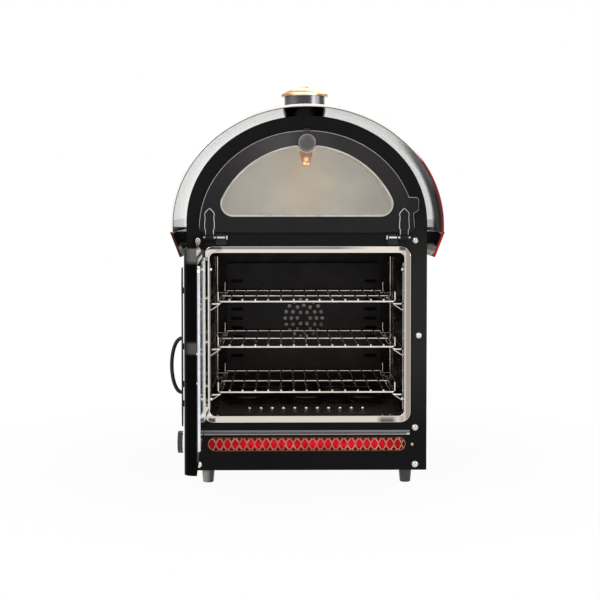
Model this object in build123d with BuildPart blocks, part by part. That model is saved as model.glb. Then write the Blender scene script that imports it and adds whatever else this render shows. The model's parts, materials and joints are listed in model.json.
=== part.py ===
from build123d import *
import os
from math import cos, radians, sin, sqrt

# A counter-top baked potato oven with an arched, glazed display compartment over a
# three-rack oven. Millimetres. +Z is up, the front faces -Y, and the origin is on the
# standing surface, under the middle of the cabinet. The main door stands open.

# ---- Driving dimensions ----

# Cabinet
body_width = 450
body_depth = 520
wall_height = 466
arch_rise = 199
foot_height = 24
front_sheet = 2
back_sheet = 2
skin = 1.5
liner_sheet = 1.2
flange_depth = 12

# Oven: the room that the cabinet leaves round it on each side
side_room = 39
grille_band = 99
header_band = 53
back_room = 134
cavity_corner = 14
mouth_step = 4.2
bezel_bar = 12.8
bezel_proud = 4.5
sleeve_depth = 12
lagging = 14

# Racks and their guides
rack_side_room = 18
rack_front_room = 24
rack_back_room = 50
rack_foot_room = 45
rack_head_room = 97
rack_count = 3
rack_wire = 4
rack_bar = 3.2
rack_bar_pitch = 24.3
rack_lift = 18
guide_wire = 3.5
guide_post = 4
guide_brace = 2.8
guide_shelf = 21

# Main door
door_thickness = 20
door_skin = 1.5
door_lining = 1
door_overlap = 2.4
door_overlap_low = 13.4
door_overlap_top = 9.4
door_roll = 17
door_angle = 88
hinge_out = 5
hinge_forward = 9
hinge_pin_radius = 3
hinge_height = 36

# Display compartment and its flap
display_edge = 37
display_drop = 2
display_room = 100
display_sheet = 1
flap_edge = 24
flap_crown = 17
flap_spring_drop = 11
flap_foot_drop = 19
flap_thickness = 6
window_side = 29.3
window_crown = 26.5
window_foot = 29.6
window_corner = 24
glass_thickness = 3
flap_pivot_drop = 9
flap_pivot_forward = 6.5
flap_pin_radius = 2.2
strap_inset = 19.5
strap_width = 19
knob_drop = 23
knob_radius = 16.3

# Ember grille under the oven
slot_margin = 38.5
slot_height = 28
slot_lift = 48.8
mesh_pitch = 14.6
mesh_strand = 1.5
ember_box_depth = 36

# Canopy and chimney
canopy_side = 22.4
canopy_crown = 20
canopy_spring_drop = 4.5
canopy_foot_drop = 17
canopy_front = 60
canopy_back = 12
canopy_sheet = 1.5
canopy_bead = 2.4
rail_thickness = 4.2
rail_step = 3.2
rail_drop = 46
rail_lean = 17.9
chimney_radius = 39.5
chimney_sheet = 1.2
chimney_rise = 53
cap_overhang = 8.5
cap_rise = 21

# Controls on the left side
control_lift = 43
thermostat_back = 60
switch_back = 140
control_knob_radius = 21
control_knob_length = 21
spindle_radius = 3

# Fan
fan_radius = 68
fan_depth = 20
fan_shaft_radius = 4

# Clearances
touch_gap = 0.3
hole_gap = 0.3
running_gap = 0.08

# ---- Levels and planes worked out from them ----

half_width = body_width / 2
front_y = -body_depth / 2
back_y = body_depth / 2
spring_z = foot_height + wall_height
roof_z = spring_z + arch_rise

cavity_width = body_width - 2 * side_room
cavity_depth = body_depth - back_room
cavity_floor = foot_height + grille_band
cavity_roof = spring_z - header_band
cavity_height = cavity_roof - cavity_floor
cavity_z = (cavity_floor + cavity_roof) / 2
cavity_half = cavity_width / 2
cavity_back = front_y + front_sheet + cavity_depth
mouth_width = cavity_width - 2 * mouth_step
mouth_height = cavity_height - 2 * mouth_step
bezel_face_y = front_y - bezel_proud
bezel_foot = cavity_z - mouth_height / 2 - bezel_bar
bezel_top = cavity_z + mouth_height / 2 + bezel_bar

rack_width = cavity_width - 2 * rack_side_room
rack_length = cavity_depth - rack_front_room - rack_back_room
rack_bars = int(rack_width / rack_bar_pitch)
rack_low_z = cavity_floor + rack_foot_room
rack_pitch = (cavity_height - rack_foot_room - rack_head_room) / (rack_count - 1)

door_bottom = bezel_foot - door_overlap_low
door_top = bezel_top + door_overlap_top
door_height = door_top - door_bottom

display_floor_z = spring_z - display_drop
display_half_width = half_width - display_edge
display_rise = arch_rise - display_edge
display_depth = body_depth - display_room

flap_half_width = half_width - flap_edge
flap_rise = arch_rise - flap_crown
flap_spring_z = spring_z - flap_spring_drop
flap_bottom_z = spring_z - flap_foot_drop
flap_top_z = flap_spring_z + flap_rise
flap_pivot_z = flap_bottom_z - flap_pivot_drop
strap_x = flap_half_width - strap_inset
knob_z = flap_top_z - knob_drop

slot_length = body_width - 2 * slot_margin
slot_z = foot_height + slot_lift

canopy_half_width = half_width + canopy_side
canopy_rise = arch_rise + canopy_crown
canopy_spring_z = spring_z - canopy_spring_drop
canopy_foot_z = spring_z - canopy_foot_drop
chimney_top_z = roof_z + chimney_rise
cap_radius = chimney_radius + cap_overhang

control_z = foot_height + control_lift
thermostat_y = front_y + thermostat_back
switch_y = front_y + switch_back


def facing(y):
    """The upright plane at this Y, seen from the front: X runs right and Y runs up."""
    return Plane.XZ.offset(-y)


def from_left(x):
    """The upright plane at this X: its X axis runs along the cabinet's +Y, and Y runs up."""
    return Plane.YZ.offset(x)


def arch(half_span, rise, spring, foot):
    """A face with a flat foot, upright sides and half an ellipse on top."""
    with BuildSketch(mode=Mode.PRIVATE) as face:
        with BuildLine():
            Polyline(
                (half_span, spring), (half_span, foot), (-half_span, foot), (-half_span, spring)
            )
            EllipticalCenterArc((0, spring), half_span, rise, arc_size=180)
        make_face()
    return face.sketch


def half_ellipse(half_span, rise, spring):
    """The upper half of an ellipse, with its flat side on the springing line."""
    with BuildSketch(mode=Mode.PRIVATE) as face:
        with BuildLine():
            Line((-half_span, spring), (half_span, spring))
            EllipticalCenterArc((0, spring), half_span, rise, arc_size=180)
        make_face()
    return face.sketch


def dome_radius(half_span, rise):
    """The radius of a dome of this rise, whose centre lies on its own axis."""
    return (half_span**2 + rise**2) / (2 * rise)


window_sill_z = flap_bottom_z + window_foot
window_top_z = flap_top_z - window_crown
window_radius = dome_radius(flap_half_width - window_side, window_top_z - window_sill_z)
window_centre_z = window_top_z - window_radius


def window(inset):
    """The flap's opening: the top of a circle cut off by the sill, drawn in by the inset."""
    radius = window_radius - inset
    sill = window_sill_z + inset
    reach = sqrt(radius**2 - (sill - window_centre_z) ** 2)
    with BuildSketch(mode=Mode.PRIVATE) as face:
        with BuildLine():
            Line((-reach, sill), (reach, sill))
            ThreePointArc((reach, sill), (0, window_centre_z + radius), (-reach, sill))
        make_face()
        fillet(face.vertices(), window_corner - inset)
    return face.sketch


def bossed_window(inset):
    """The opening with the frame's boss for the knob standing into its top."""
    boss = knob_radius - 1 + inset
    with BuildSketch(mode=Mode.PRIVATE) as face:
        add(window(inset))
        with Locations((0, knob_z)):
            Circle(boss, mode=Mode.SUBTRACT)
        shoulders = [vertex for vertex in face.vertices() if abs(vertex.X) < 2 * boss]
        fillet(shoulders, 10 - inset)
    return face.sketch


def oven_mouth(width, height, corner):
    """A rounded rectangle centred on the oven's mouth, in the front view."""
    with BuildSketch(mode=Mode.PRIVATE) as face:
        with Locations((0, cavity_z)):
            RectangleRounded(width, height, corner)
    return face.sketch


os.makedirs("parts", exist_ok=True)

# ---- Cabinet shell ----

screw_x = half_width - 21.5
screw_levels = (foot_height + 10.7, door_bottom + 3, door_top + 1.6)
screw_radius = 3
indicator_x = half_width - 27.2
indicator_radius = 2.6
stud_x = half_width - 15
stud_z = cavity_z - 2.5
foot_x = half_width - 39
foot_inset = 14
gland_x = half_width - 75
gland_z = foot_height + 36
gland_thread = 8
gland_bore = 4.2

with BuildPart() as front_frame:
    with BuildSketch(facing(front_y)) as outline:
        add(arch(half_width, arch_rise, spring_z, foot_height))
        add(
            arch(display_half_width, display_rise, display_floor_z + 1, display_floor_z),
            mode=Mode.SUBTRACT,
        )
        add(oven_mouth(cavity_width, cavity_height, cavity_corner), mode=Mode.SUBTRACT)
        with Locations((0, slot_z)):
            SlotOverall(slot_length, slot_height, mode=Mode.SUBTRACT)
        with Locations([(side * screw_x, z) for side in (-1, 1) for z in screw_levels]):
            Circle(screw_radius + hole_gap, mode=Mode.SUBTRACT)
        with Locations((stud_x, stud_z)):
            Circle(screw_radius + hole_gap, mode=Mode.SUBTRACT)
        with Locations((indicator_x, slot_z)):
            Circle(indicator_radius + hole_gap, mode=Mode.SUBTRACT)
    extrude(amount=-front_sheet)
    with BuildSketch(facing(front_y + front_sheet)):
        inner = skin + touch_gap
        add(half_ellipse(half_width - inner, arch_rise - inner, spring_z))
        add(
            half_ellipse(half_width - inner - skin, arch_rise - inner - skin, spring_z),
            mode=Mode.SUBTRACT,
        )
    extrude(amount=-flange_depth)
front_frame.part.label = "front_frame"
export_step(front_frame.part, "parts/front_frame.step")

side_length = body_depth - front_sheet - back_sheet
with BuildPart() as side_panel_right:
    with BuildSketch(from_left(half_width - skin)):
        with Locations((0, foot_height + wall_height / 2)):
            Rectangle(side_length, wall_height)
    extrude(amount=skin)
side_panel_right.part.label = "side_panel_right"
export_step(side_panel_right.part, "parts/side_panel_right.step")

switch_width = 22
switch_height = 30
with BuildPart() as side_panel_left:
    with BuildSketch(from_left(-half_width)):
        with Locations((0, foot_height + wall_height / 2)):
            Rectangle(side_length, wall_height)
        with Locations((thermostat_y, control_z)):
            Circle(spindle_radius + 1, mode=Mode.SUBTRACT)
        with Locations((switch_y, control_z)):
            Rectangle(
                switch_width + 2 * hole_gap, switch_height + 2 * hole_gap, mode=Mode.SUBTRACT
            )
    extrude(amount=skin)
side_panel_left.part.label = "side_panel_left"
export_step(side_panel_left.part, "parts/side_panel_left.step")

with BuildPart() as roof_shell:
    with BuildSketch(facing(front_y + front_sheet)):
        add(half_ellipse(half_width, arch_rise, spring_z))
        add(half_ellipse(half_width - skin, arch_rise - skin, spring_z), mode=Mode.SUBTRACT)
    extrude(amount=-side_length)
    with BuildSketch(Plane.XY.offset(roof_z - arch_rise / 2)):
        Circle(chimney_radius + hole_gap)
    extrude(amount=arch_rise, mode=Mode.SUBTRACT)
roof_shell.part.label = "roof_shell"
export_step(roof_shell.part, "parts/roof_shell.step")

vent_length = 46
vent_height = 6
with BuildPart() as back_panel:
    with BuildSketch(facing(back_y)):
        add(arch(half_width, arch_rise, spring_z, foot_height))
        with Locations((0, cavity_z)):
            with GridLocations(vent_length * 1.4, vent_height * 2.2, 4, 7):
                SlotOverall(vent_length, vent_height, mode=Mode.SUBTRACT)
        with Locations((0, slot_z)):
            with GridLocations(vent_length * 1.4, vent_height * 2.2, 2, 3):
                SlotOverall(vent_length, vent_height, mode=Mode.SUBTRACT)
        with Locations((gland_x, gland_z)):
            Circle(gland_thread + hole_gap, mode=Mode.SUBTRACT)
    extrude(amount=back_sheet)
    with BuildSketch(facing(back_y - back_sheet)):
        add(half_ellipse(half_width - inner, arch_rise - inner, spring_z))
        add(
            half_ellipse(half_width - inner - skin, arch_rise - inner - skin, spring_z),
            mode=Mode.SUBTRACT,
        )
    extrude(amount=flange_depth)
back_panel.part.label = "back_panel"
export_step(back_panel.part, "parts/back_panel.step")

foot_thread = 4
foot_places = [
    (side * foot_x, end * (body_depth / 2 - foot_inset)) for side in (-1, 1) for end in (-1, 1)
]
with BuildPart() as base_plate:
    with BuildSketch(Plane.XY.offset(foot_height)):
        Rectangle(body_width - 2 * skin, side_length)
        with Locations(foot_places):
            Circle(foot_thread + hole_gap, mode=Mode.SUBTRACT)
        with Locations((0, body_depth / 8)):
            with GridLocations(vent_height * 2.6, vent_length * 1.4, 14, 2):
                SlotOverall(vent_length, vent_height, rotation=90, mode=Mode.SUBTRACT)
    extrude(amount=skin)
base_plate.part.label = "base_plate"
export_step(base_plate.part, "parts/base_plate.step")

foot_top_radius = 12
foot_bottom_radius = 10
with BuildPart() as feet:
    for place in foot_places:
        with BuildSketch(Plane.XZ.offset(-place[1])):
            with BuildLine():
                Polyline(
                    (place[0], 0),
                    (place[0] + foot_bottom_radius - 1, 0),
                    (place[0] + foot_bottom_radius, 1),
                    (place[0] + foot_top_radius, foot_height),
                    (place[0] + foot_thread, foot_height),
                    (place[0] + foot_thread, foot_height + 9),
                    (place[0], foot_height + 9),
                    (place[0], 0),
                )
            make_face()
        revolve(axis=Axis((place[0], place[1], 0), (0, 0, 1)))
feet.part.label = "feet"
export_step(feet.part, "parts/feet.step")


def pan_screw(x, z, face_y, head_radius, length):
    """A pan-head screw driven into the front, with a cross recess in its head."""
    head = head_radius * 0.62
    rim = head * 0.35
    with BuildSketch(Plane.XY.offset(z), mode=Mode.PRIVATE) as profile:
        with BuildLine():
            Polyline(
                (x, face_y - head),
                (x, face_y + length),
                (x + screw_radius, face_y + length),
                (x + screw_radius, face_y),
                (x + head_radius, face_y),
                (x + head_radius, face_y - rim),
            )
            RadiusArc(
                (x + head_radius, face_y - rim),
                (x, face_y - head),
                dome_radius(head_radius, head - rim),
            )
        make_face()
    revolve(profile.sketch, axis=Axis((x, 0, z), (0, 1, 0)))
    with BuildSketch(facing(face_y - head)) as cross:
        with Locations((x, z)):
            Rectangle(head_radius, head_radius * 0.22)
            Rectangle(head_radius * 0.22, head_radius)
    extrude(cross.sketch, amount=-head * 0.55, mode=Mode.SUBTRACT)


bracket_leg = 2
with BuildPart() as front_screws:
    for side in (-1, 1):
        for level in screw_levels:
            on_bracket = side < 0 and level > screw_levels[0]
            pan_screw(side * screw_x, level, front_y - on_bracket * bracket_leg, 6, 12)
    pan_screw(stud_x, stud_z, front_y, 5.5, 8)
front_screws.part.label = "front_screws"
export_step(front_screws.part, "parts/front_screws.step")

with BuildPart() as indicator:
    with BuildSketch(facing(front_y - 3)):
        with Locations((indicator_x, slot_z)):
            Circle(indicator_radius)
    extrude(amount=-18)
    fillet(indicator.faces().sort_by(Axis.Y)[0].edges(), 1.6)
indicator.part.label = "indicator"
export_step(indicator.part, "parts/indicator.step")

# ---- Oven ----

with BuildPart() as oven_liner:
    with BuildSketch(facing(front_y + front_sheet)):
        add(
            oven_mouth(
                cavity_width + 2 * liner_sheet,
                cavity_height + 2 * liner_sheet,
                cavity_corner + liner_sheet,
            )
        )
    extrude(amount=-cavity_depth - liner_sheet)
    with BuildSketch(facing(front_y + front_sheet)):
        add(oven_mouth(cavity_width, cavity_height, cavity_corner))
    extrude(amount=-cavity_depth, mode=Mode.SUBTRACT)
    with BuildSketch(facing(cavity_back)):
        with Locations((0, cavity_z)):
            Circle(fan_shaft_radius + 1)
    extrude(amount=-liner_sheet, mode=Mode.SUBTRACT)
oven_liner.part.label = "oven_liner"
export_step(oven_liner.part, "parts/oven_liner.step")

bezel_corner = cavity_corner - mouth_step + bezel_bar - 3
with BuildPart() as oven_bezel:
    with BuildSketch(facing(front_y)):
        add(
            oven_mouth(
                mouth_width + 2 * bezel_bar, mouth_height + 2 * bezel_bar, bezel_corner
            )
        )
        add(
            oven_mouth(mouth_width, mouth_height, cavity_corner - mouth_step),
            mode=Mode.SUBTRACT,
        )
    extrude(amount=bezel_proud)
    fillet(oven_bezel.faces().sort_by(Axis.Y)[0].edges(), bezel_proud * 0.4)
    with BuildSketch(facing(front_y)):
        add(
            oven_mouth(
                mouth_width + 2 * liner_sheet,
                mouth_height + 2 * liner_sheet,
                cavity_corner - mouth_step + liner_sheet,
            )
        )
        add(
            oven_mouth(mouth_width, mouth_height, cavity_corner - mouth_step),
            mode=Mode.SUBTRACT,
        )
    extrude(amount=-sleeve_depth)
oven_bezel.part.label = "oven_bezel"
export_step(oven_bezel.part, "parts/oven_bezel.step")

liner_outer_width = cavity_width + 2 * liner_sheet
liner_outer_height = cavity_height + 2 * liner_sheet
lagging_front = front_y + front_sheet
liner_back = cavity_back + liner_sheet
with BuildPart() as oven_insulation:
    with BuildSketch(facing(lagging_front)):
        add(
            oven_mouth(
                liner_outer_width + 2 * lagging, liner_outer_height + 2 * lagging, cavity_corner
            )
        )
    extrude(amount=-(liner_back + lagging - lagging_front))
    with BuildSketch(facing(lagging_front)):
        add(
            oven_mouth(
                liner_outer_width + 2 * touch_gap,
                liner_outer_height + 2 * touch_gap,
                cavity_corner + liner_sheet + touch_gap,
            )
        )
    extrude(amount=-(liner_back - lagging_front), mode=Mode.SUBTRACT)
    with BuildSketch(facing(liner_back)):
        with Locations((0, cavity_z)):
            Circle(fan_shaft_radius + 2)
    extrude(amount=-lagging, mode=Mode.SUBTRACT)
oven_insulation.part.label = "oven_insulation"
export_step(oven_insulation.part, "parts/oven_insulation.step")

floor_plate_width = cavity_width - 30
floor_plate_length = 131
floor_plate_rise = 1.6
floor_hole_pitch = 22
with BuildPart() as floor_plate:
    plate_front = front_y + sleeve_depth + 2
    with BuildSketch(Plane.XY.offset(cavity_floor + touch_gap + floor_plate_rise)):
        with Locations((0, plate_front + floor_plate_length / 2)):
            Rectangle(floor_plate_width, floor_plate_length)
        with Locations((0, front_y + 85)):
            with GridLocations(floor_hole_pitch, 1, 11, 1):
                Circle(3.2, mode=Mode.SUBTRACT)
    extrude(amount=liner_sheet)
    with BuildSketch(Plane.XY.offset(cavity_floor + touch_gap)):
        with Locations((0, plate_front + floor_plate_length / 2)):
            with GridLocations(1, floor_plate_length - 3, 1, 2):
                Rectangle(floor_plate_width - 4, 3)
    extrude(amount=floor_plate_rise)
floor_plate.part.label = "floor_plate"
export_step(floor_plate.part, "parts/floor_plate.step")

element_radius = 3.4
element_z = cavity_floor + 13
element_half = cavity_half - 36
element_waist = 0.6 * element_half
element_back = cavity_back
element_middle = element_back - 108
element_front = element_middle - 115
with BuildPart() as lower_element:
    with BuildLine(Plane.XY.offset(element_z)) as route:
        right_half = [
            (30, element_middle),
            (element_waist, element_middle),
            (element_waist, element_front),
            (element_half, element_front),
            (element_half, element_back - 70),
            (25, element_back - 70),
            (25, element_back),
        ]
        left_half = [(-x, y) for x, y in reversed(right_half)]
        FilletPolyline(
            *left_half, (-30, element_front), (30, element_front), *right_half, radius=24
        )
    with BuildSketch(Plane(origin=route.line @ 0, z_dir=route.line % 0)):
        Circle(element_radius)
    sweep()
lower_element.part.label = "lower_element"
export_step(lower_element.part, "parts/lower_element.step")

baffle_width = cavity_width - 42
baffle_height = cavity_height - 78
baffle_depth = 42
baffle_rows = int((baffle_height - 50) / 20)
baffle_face = cavity_back - baffle_depth
with BuildPart() as fan_baffle:
    with BuildSketch(facing(baffle_face)):
        add(oven_mouth(baffle_width, baffle_height, 8))
    extrude(amount=-baffle_depth)
    with BuildSketch(facing(baffle_face + liner_sheet)):
        add(oven_mouth(baffle_width - 2 * liner_sheet, baffle_height - 2 * liner_sheet, 6.8))
    extrude(amount=-baffle_depth, mode=Mode.SUBTRACT)
    with BuildSketch(facing(baffle_face)):
        with Locations((0, cavity_z)):
            for ring, count in ((14, 6), (27, 12), (40, 18)):
                with PolarLocations(ring, count):
                    Circle(4)
        with Locations((0, cavity_z)):
            with GridLocations(baffle_width - 44, 20, 2, baffle_rows):
                SlotOverall(26, 7)
    extrude(amount=-liner_sheet, mode=Mode.SUBTRACT)
fan_baffle.part.label = "fan_baffle"
export_step(fan_baffle.part, "parts/fan_baffle.step")

fan_back = cavity_back - 6
with BuildPart() as fan_rotor:
    with BuildSketch(facing(fan_back)):
        with Locations((0, cavity_z)):
            Circle(fan_radius)
    extrude(amount=liner_sheet)
    with BuildSketch(facing(fan_back)):
        with Locations((0, cavity_z)):
            Circle(12)
            with PolarLocations(fan_radius - 21, 9):
                Rectangle(34, 1.6)
    extrude(amount=fan_depth)
    with BuildSketch(facing(fan_back - 1)):
        with Locations((0, cavity_z)):
            Circle(fan_shaft_radius)
    extrude(amount=-(liner_back + lagging + 14 - fan_back))
fan_rotor.part.label = "fan_rotor"
export_step(fan_rotor.part, "parts/fan_rotor.step")

motor_face = liner_back + lagging
with BuildPart() as fan_motor:
    with BuildSketch(facing(motor_face)):
        with Locations((0, cavity_z)):
            Circle(46)
    extrude(amount=-2)
    with BuildSketch(facing(motor_face)):
        with Locations((0, cavity_z)):
            Circle(34)
    extrude(amount=-46)
    fillet(fan_motor.faces().sort_by(Axis.Y)[-1].edges(), 5)
    with BuildSketch(facing(motor_face)):
        with Locations((0, cavity_z)):
            Circle(fan_shaft_radius + running_gap)
    extrude(amount=-18, mode=Mode.SUBTRACT)
fan_motor.part.label = "fan_motor"
export_step(fan_motor.part, "parts/fan_motor.step")

# ---- Racks and guides ----

rack_front = front_y + rack_front_room
guide_outer_x = cavity_half - guide_post / 2 - touch_gap
guide_inner_x = guide_outer_x - guide_shelf
guide_front = rack_front - 5
guide_back = baffle_face - 8
upright_front = guide_front + 9
upright_back = guide_back - 14
rack_levels = [rack_low_z + level * rack_pitch for level in range(rack_count)]
runner_drop = (rack_wire + guide_wire) / 2 + touch_gap
brace_aside = guide_post / 2 + 1


def rod(start, end, radius):
    """A straight round wire from one point to the other."""
    along = Vector(*end) - Vector(*start)
    with BuildSketch(Plane(origin=start, z_dir=along), mode=Mode.PRIVATE) as section:
        Circle(radius)
    extrude(section.sketch, amount=along.length)


with BuildPart() as rack_guides:
    for level in rack_levels:
        runner_z = level - runner_drop
        with BuildLine(Plane.XY.offset(runner_z)) as runner:
            FilletPolyline(
                (guide_outer_x, guide_back),
                (guide_outer_x, guide_front),
                (guide_inner_x, guide_front),
                (guide_inner_x, guide_back),
                radius=6,
            )
        with BuildSketch(Plane(origin=runner.line @ 0, z_dir=runner.line % 0)):
            Circle(guide_wire / 2)
        sweep(path=runner.line)
        rod(
            (guide_outer_x, guide_back - 4, runner_z),
            (guide_inner_x, guide_back - 4, runner_z),
            guide_brace / 2,
        )
        for y in (upright_front + brace_aside, upright_back - brace_aside):
            rod(
                (guide_inner_x, y, runner_z),
                (guide_outer_x, y, runner_z - 14),
                guide_brace / 2,
            )
    for y in (upright_front, upright_back):
        rod(
            (guide_outer_x, y, cavity_floor + 12),
            (guide_outer_x, y, cavity_roof - 24),
            guide_post / 2,
        )
    mirror(about=Plane.YZ)
rack_guides.part.label = "rack_guides"
export_step(rack_guides.part, "parts/rack_guides.step")

guide_screw_levels = (cavity_floor + 32, cavity_roof - 36)
guide_screw_head = 5.2
with BuildPart() as guide_screws:
    for side in (-1, 1):
        for y in (upright_front - 5, upright_back + 5):
            for level in guide_screw_levels:
                wall = side * cavity_half
                inside = side * (guide_outer_x - guide_post / 2 - touch_gap)
                rod((wall, y, level), (inside, y, level), 2.4)
                with BuildSketch(Plane(origin=(inside, y, level), z_dir=(-side, 0, 0))):
                    Circle(guide_screw_head)
                extrude(amount=2.6, taper=30)
guide_screws.part.label = "guide_screws"
export_step(guide_screws.part, "parts/guide_screws.step")

rack_names = ("rack_lower", "rack_middle", "rack_upper")
for rack_name, level in zip(rack_names, rack_levels):
    with BuildPart() as rack:
        middle_y = rack_front + rack_length / 2
        with BuildSketch(Plane.XY.offset(level), mode=Mode.PRIVATE) as plan:
            with Locations((0, middle_y)):
                RectangleRounded(rack_width, rack_length, 7)
        hoop = plan.sketch.faces()[0].outer_wire()
        with BuildSketch(Plane(origin=hoop @ 0, z_dir=hoop % 0)):
            Circle(rack_wire / 2)
        sweep(path=hoop)
        bar_z = level + (rack_wire + rack_bar) / 2 - 0.4
        for bar in range(rack_bars):
            bar_x = (bar - (rack_bars - 1) / 2) * rack_bar_pitch
            rod(
                (bar_x, rack_front - rack_wire / 2, bar_z),
                (bar_x, rack_front + rack_length + rack_wire / 2, bar_z),
                rack_bar / 2,
            )
        rod(
            (-rack_width / 2, middle_y, level),
            (rack_width / 2, middle_y, level),
            rack_wire / 2,
        )
        for side in (-1, 1):
            for y in (rack_front + 7, rack_front + rack_length - 7):
                rod(
                    (side * rack_width / 2, y, level),
                    (side * rack_width / 2, y, level + rack_lift),
                    rack_wire / 2,
                )
    rack.part.label = rack_name
    export_step(rack.part, f"parts/{rack_name}.step")

# ---- Ember grille ----

lip_half = half_width - 32
lip_bottom = cavity_floor - 32
lip_top = door_bottom - 1.5
lip_proud = 5
with BuildPart() as fascia_lip:
    with BuildSketch(from_left(-lip_half)):
        with BuildLine():
            Line((front_y, lip_bottom), (front_y, lip_top))
            Line((front_y, lip_top), (front_y - lip_proud * 0.4, lip_top))
            RadiusArc(
                (front_y - lip_proud * 0.4, lip_top), (front_y - lip_proud * 0.4, lip_bottom), -6
            )
            Line((front_y - lip_proud * 0.4, lip_bottom), (front_y, lip_bottom))
        make_face()
    extrude(amount=2 * lip_half)
fascia_lip.part.label = "fascia_lip"
export_step(fascia_lip.part, "parts/fascia_lip.step")

mesh_y = front_y + front_sheet
mesh_sheet = 1
with BuildPart() as ember_mesh:
    with BuildSketch(facing(mesh_y)):
        with Locations((0, slot_z)):
            Rectangle(slot_length + 12, slot_height + 12)
        gap_width = mesh_pitch - 2 * mesh_strand
        gap_height = slot_height - 3
        columns = int(slot_length / mesh_pitch)
        with BuildSketch(mode=Mode.PRIVATE) as gap:
            with BuildLine():
                Polyline(
                    (gap_width / 2, 0),
                    (0, gap_height / 2),
                    (-gap_width / 2, 0),
                    (0, -gap_height / 2),
                    close=True,
                )
            make_face()
        with Locations((0, slot_z)):
            with GridLocations(mesh_pitch, 1, columns, 1):
                add(gap.sketch, mode=Mode.SUBTRACT)
        with BuildSketch(mode=Mode.PRIVATE) as half_gap:
            with BuildLine():
                Polyline(
                    (gap_width / 2, 0), (0, gap_height / 2), (-gap_width / 2, 0), close=True
                )
            make_face()
        reach = (gap_height + 2 * mesh_strand) / 2
        with Locations((0, slot_z - reach)):
            with GridLocations(mesh_pitch, 1, columns - 1, 1):
                add(half_gap.sketch, mode=Mode.SUBTRACT)
        with Locations((0, slot_z + reach)):
            with GridLocations(mesh_pitch, 1, columns - 1, 1):
                add(half_gap.sketch, rotation=180, mode=Mode.SUBTRACT)
    extrude(amount=-mesh_sheet)
ember_mesh.part.label = "ember_mesh"
export_step(ember_mesh.part, "parts/ember_mesh.step")

box_width = slot_length + 14
box_height = slot_height + 16
box_front = mesh_y + mesh_sheet
with BuildPart() as ember_box:
    with BuildSketch(facing(box_front)):
        with Locations((0, slot_z)):
            Rectangle(box_width, box_height)
    extrude(amount=-ember_box_depth)
    with BuildSketch(facing(box_front)):
        with Locations((0, slot_z)):
            Rectangle(box_width - 2, box_height - 2)
    extrude(amount=-(ember_box_depth - 1), mode=Mode.SUBTRACT)
ember_box.part.label = "ember_box"
export_step(ember_box.part, "parts/ember_box.step")

with BuildPart() as ember_diffuser:
    with BuildSketch(facing(box_front + 4)):
        with Locations((0, slot_z)):
            Rectangle(box_width - 2 - 2 * touch_gap, box_height - 2 - 2 * touch_gap)
    extrude(amount=-2)
ember_diffuser.part.label = "ember_diffuser"
export_step(ember_diffuser.part, "parts/ember_diffuser.step")

tube_radius = 8
tube_half = box_width / 2 - 1
with BuildPart() as ember_lamp:
    with BuildSketch(from_left(-tube_half)):
        with Locations((box_front + 20, slot_z)):
            Circle(tube_radius)
    extrude(amount=2 * tube_half)
ember_lamp.part.label = "ember_lamp"
export_step(ember_lamp.part, "parts/ember_lamp.step")

# ---- Display compartment ----

with BuildPart() as display_liner:
    liner_front = front_y + front_sheet
    with BuildSketch(facing(liner_front)):
        add(
            half_ellipse(
                display_half_width + display_sheet,
                display_rise + display_sheet,
                display_floor_z,
            )
        )
    extrude(amount=-display_depth)
    with BuildSketch(facing(liner_front)):
        add(half_ellipse(display_half_width, display_rise, display_floor_z))
    extrude(amount=-(display_depth - display_sheet), mode=Mode.SUBTRACT)
    with BuildSketch(Plane.XY.offset(display_floor_z + display_rise / 2)):
        Circle(chimney_radius - 6)
    extrude(amount=display_rise, mode=Mode.SUBTRACT)
display_liner.part.label = "display_liner"
export_step(display_liner.part, "parts/display_liner.step")

with BuildPart() as display_floor:
    with BuildSketch(Plane.XY.offset(display_floor_z)):
        with Locations((0, front_y + front_sheet + display_depth / 2)):
            Rectangle(body_width - 2 * skin, display_depth)
            with GridLocations(56, 44, 5, 6):
                SlotOverall(30, 6, mode=Mode.SUBTRACT)
    extrude(amount=-skin)
display_floor.part.label = "display_floor"
export_step(display_floor.part, "parts/display_floor.step")

lamp_y = front_y + 92
lamp_top = display_floor_z + display_rise * sqrt(1 - (14 / display_half_width) ** 2) - touch_gap
with BuildPart() as lamp_holder:
    with BuildSketch(Plane.XY.offset(lamp_top - 3)):
        with Locations((0, lamp_y)):
            Circle(14)
    extrude(amount=3)
    with BuildSketch(Plane.XY.offset(lamp_top - 3)):
        with Locations((0, lamp_y)):
            Circle(11)
    extrude(amount=-20, taper=6)
lamp_holder.part.label = "lamp_holder"
export_step(lamp_holder.part, "parts/lamp_holder.step")

lamp_neck = lamp_top - 23
lamp_radius = 6.5
lamp_tip = lamp_neck - 18 - lamp_radius
with BuildPart() as halogen_lamp:
    with BuildSketch(facing(lamp_y)):
        with BuildLine():
            Polyline(
                (0, lamp_tip),
                (0, lamp_neck),
                (lamp_radius - 1, lamp_neck),
                (lamp_radius, lamp_tip + lamp_radius),
            )
            RadiusArc((lamp_radius, lamp_tip + lamp_radius), (0, lamp_tip), lamp_radius)
        make_face()
    revolve(axis=Axis((0, lamp_y, 0), (0, 0, 1)))
halogen_lamp.part.label = "halogen_lamp"
export_step(halogen_lamp.part, "parts/halogen_lamp.step")

# ---- Window flap ----

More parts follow.
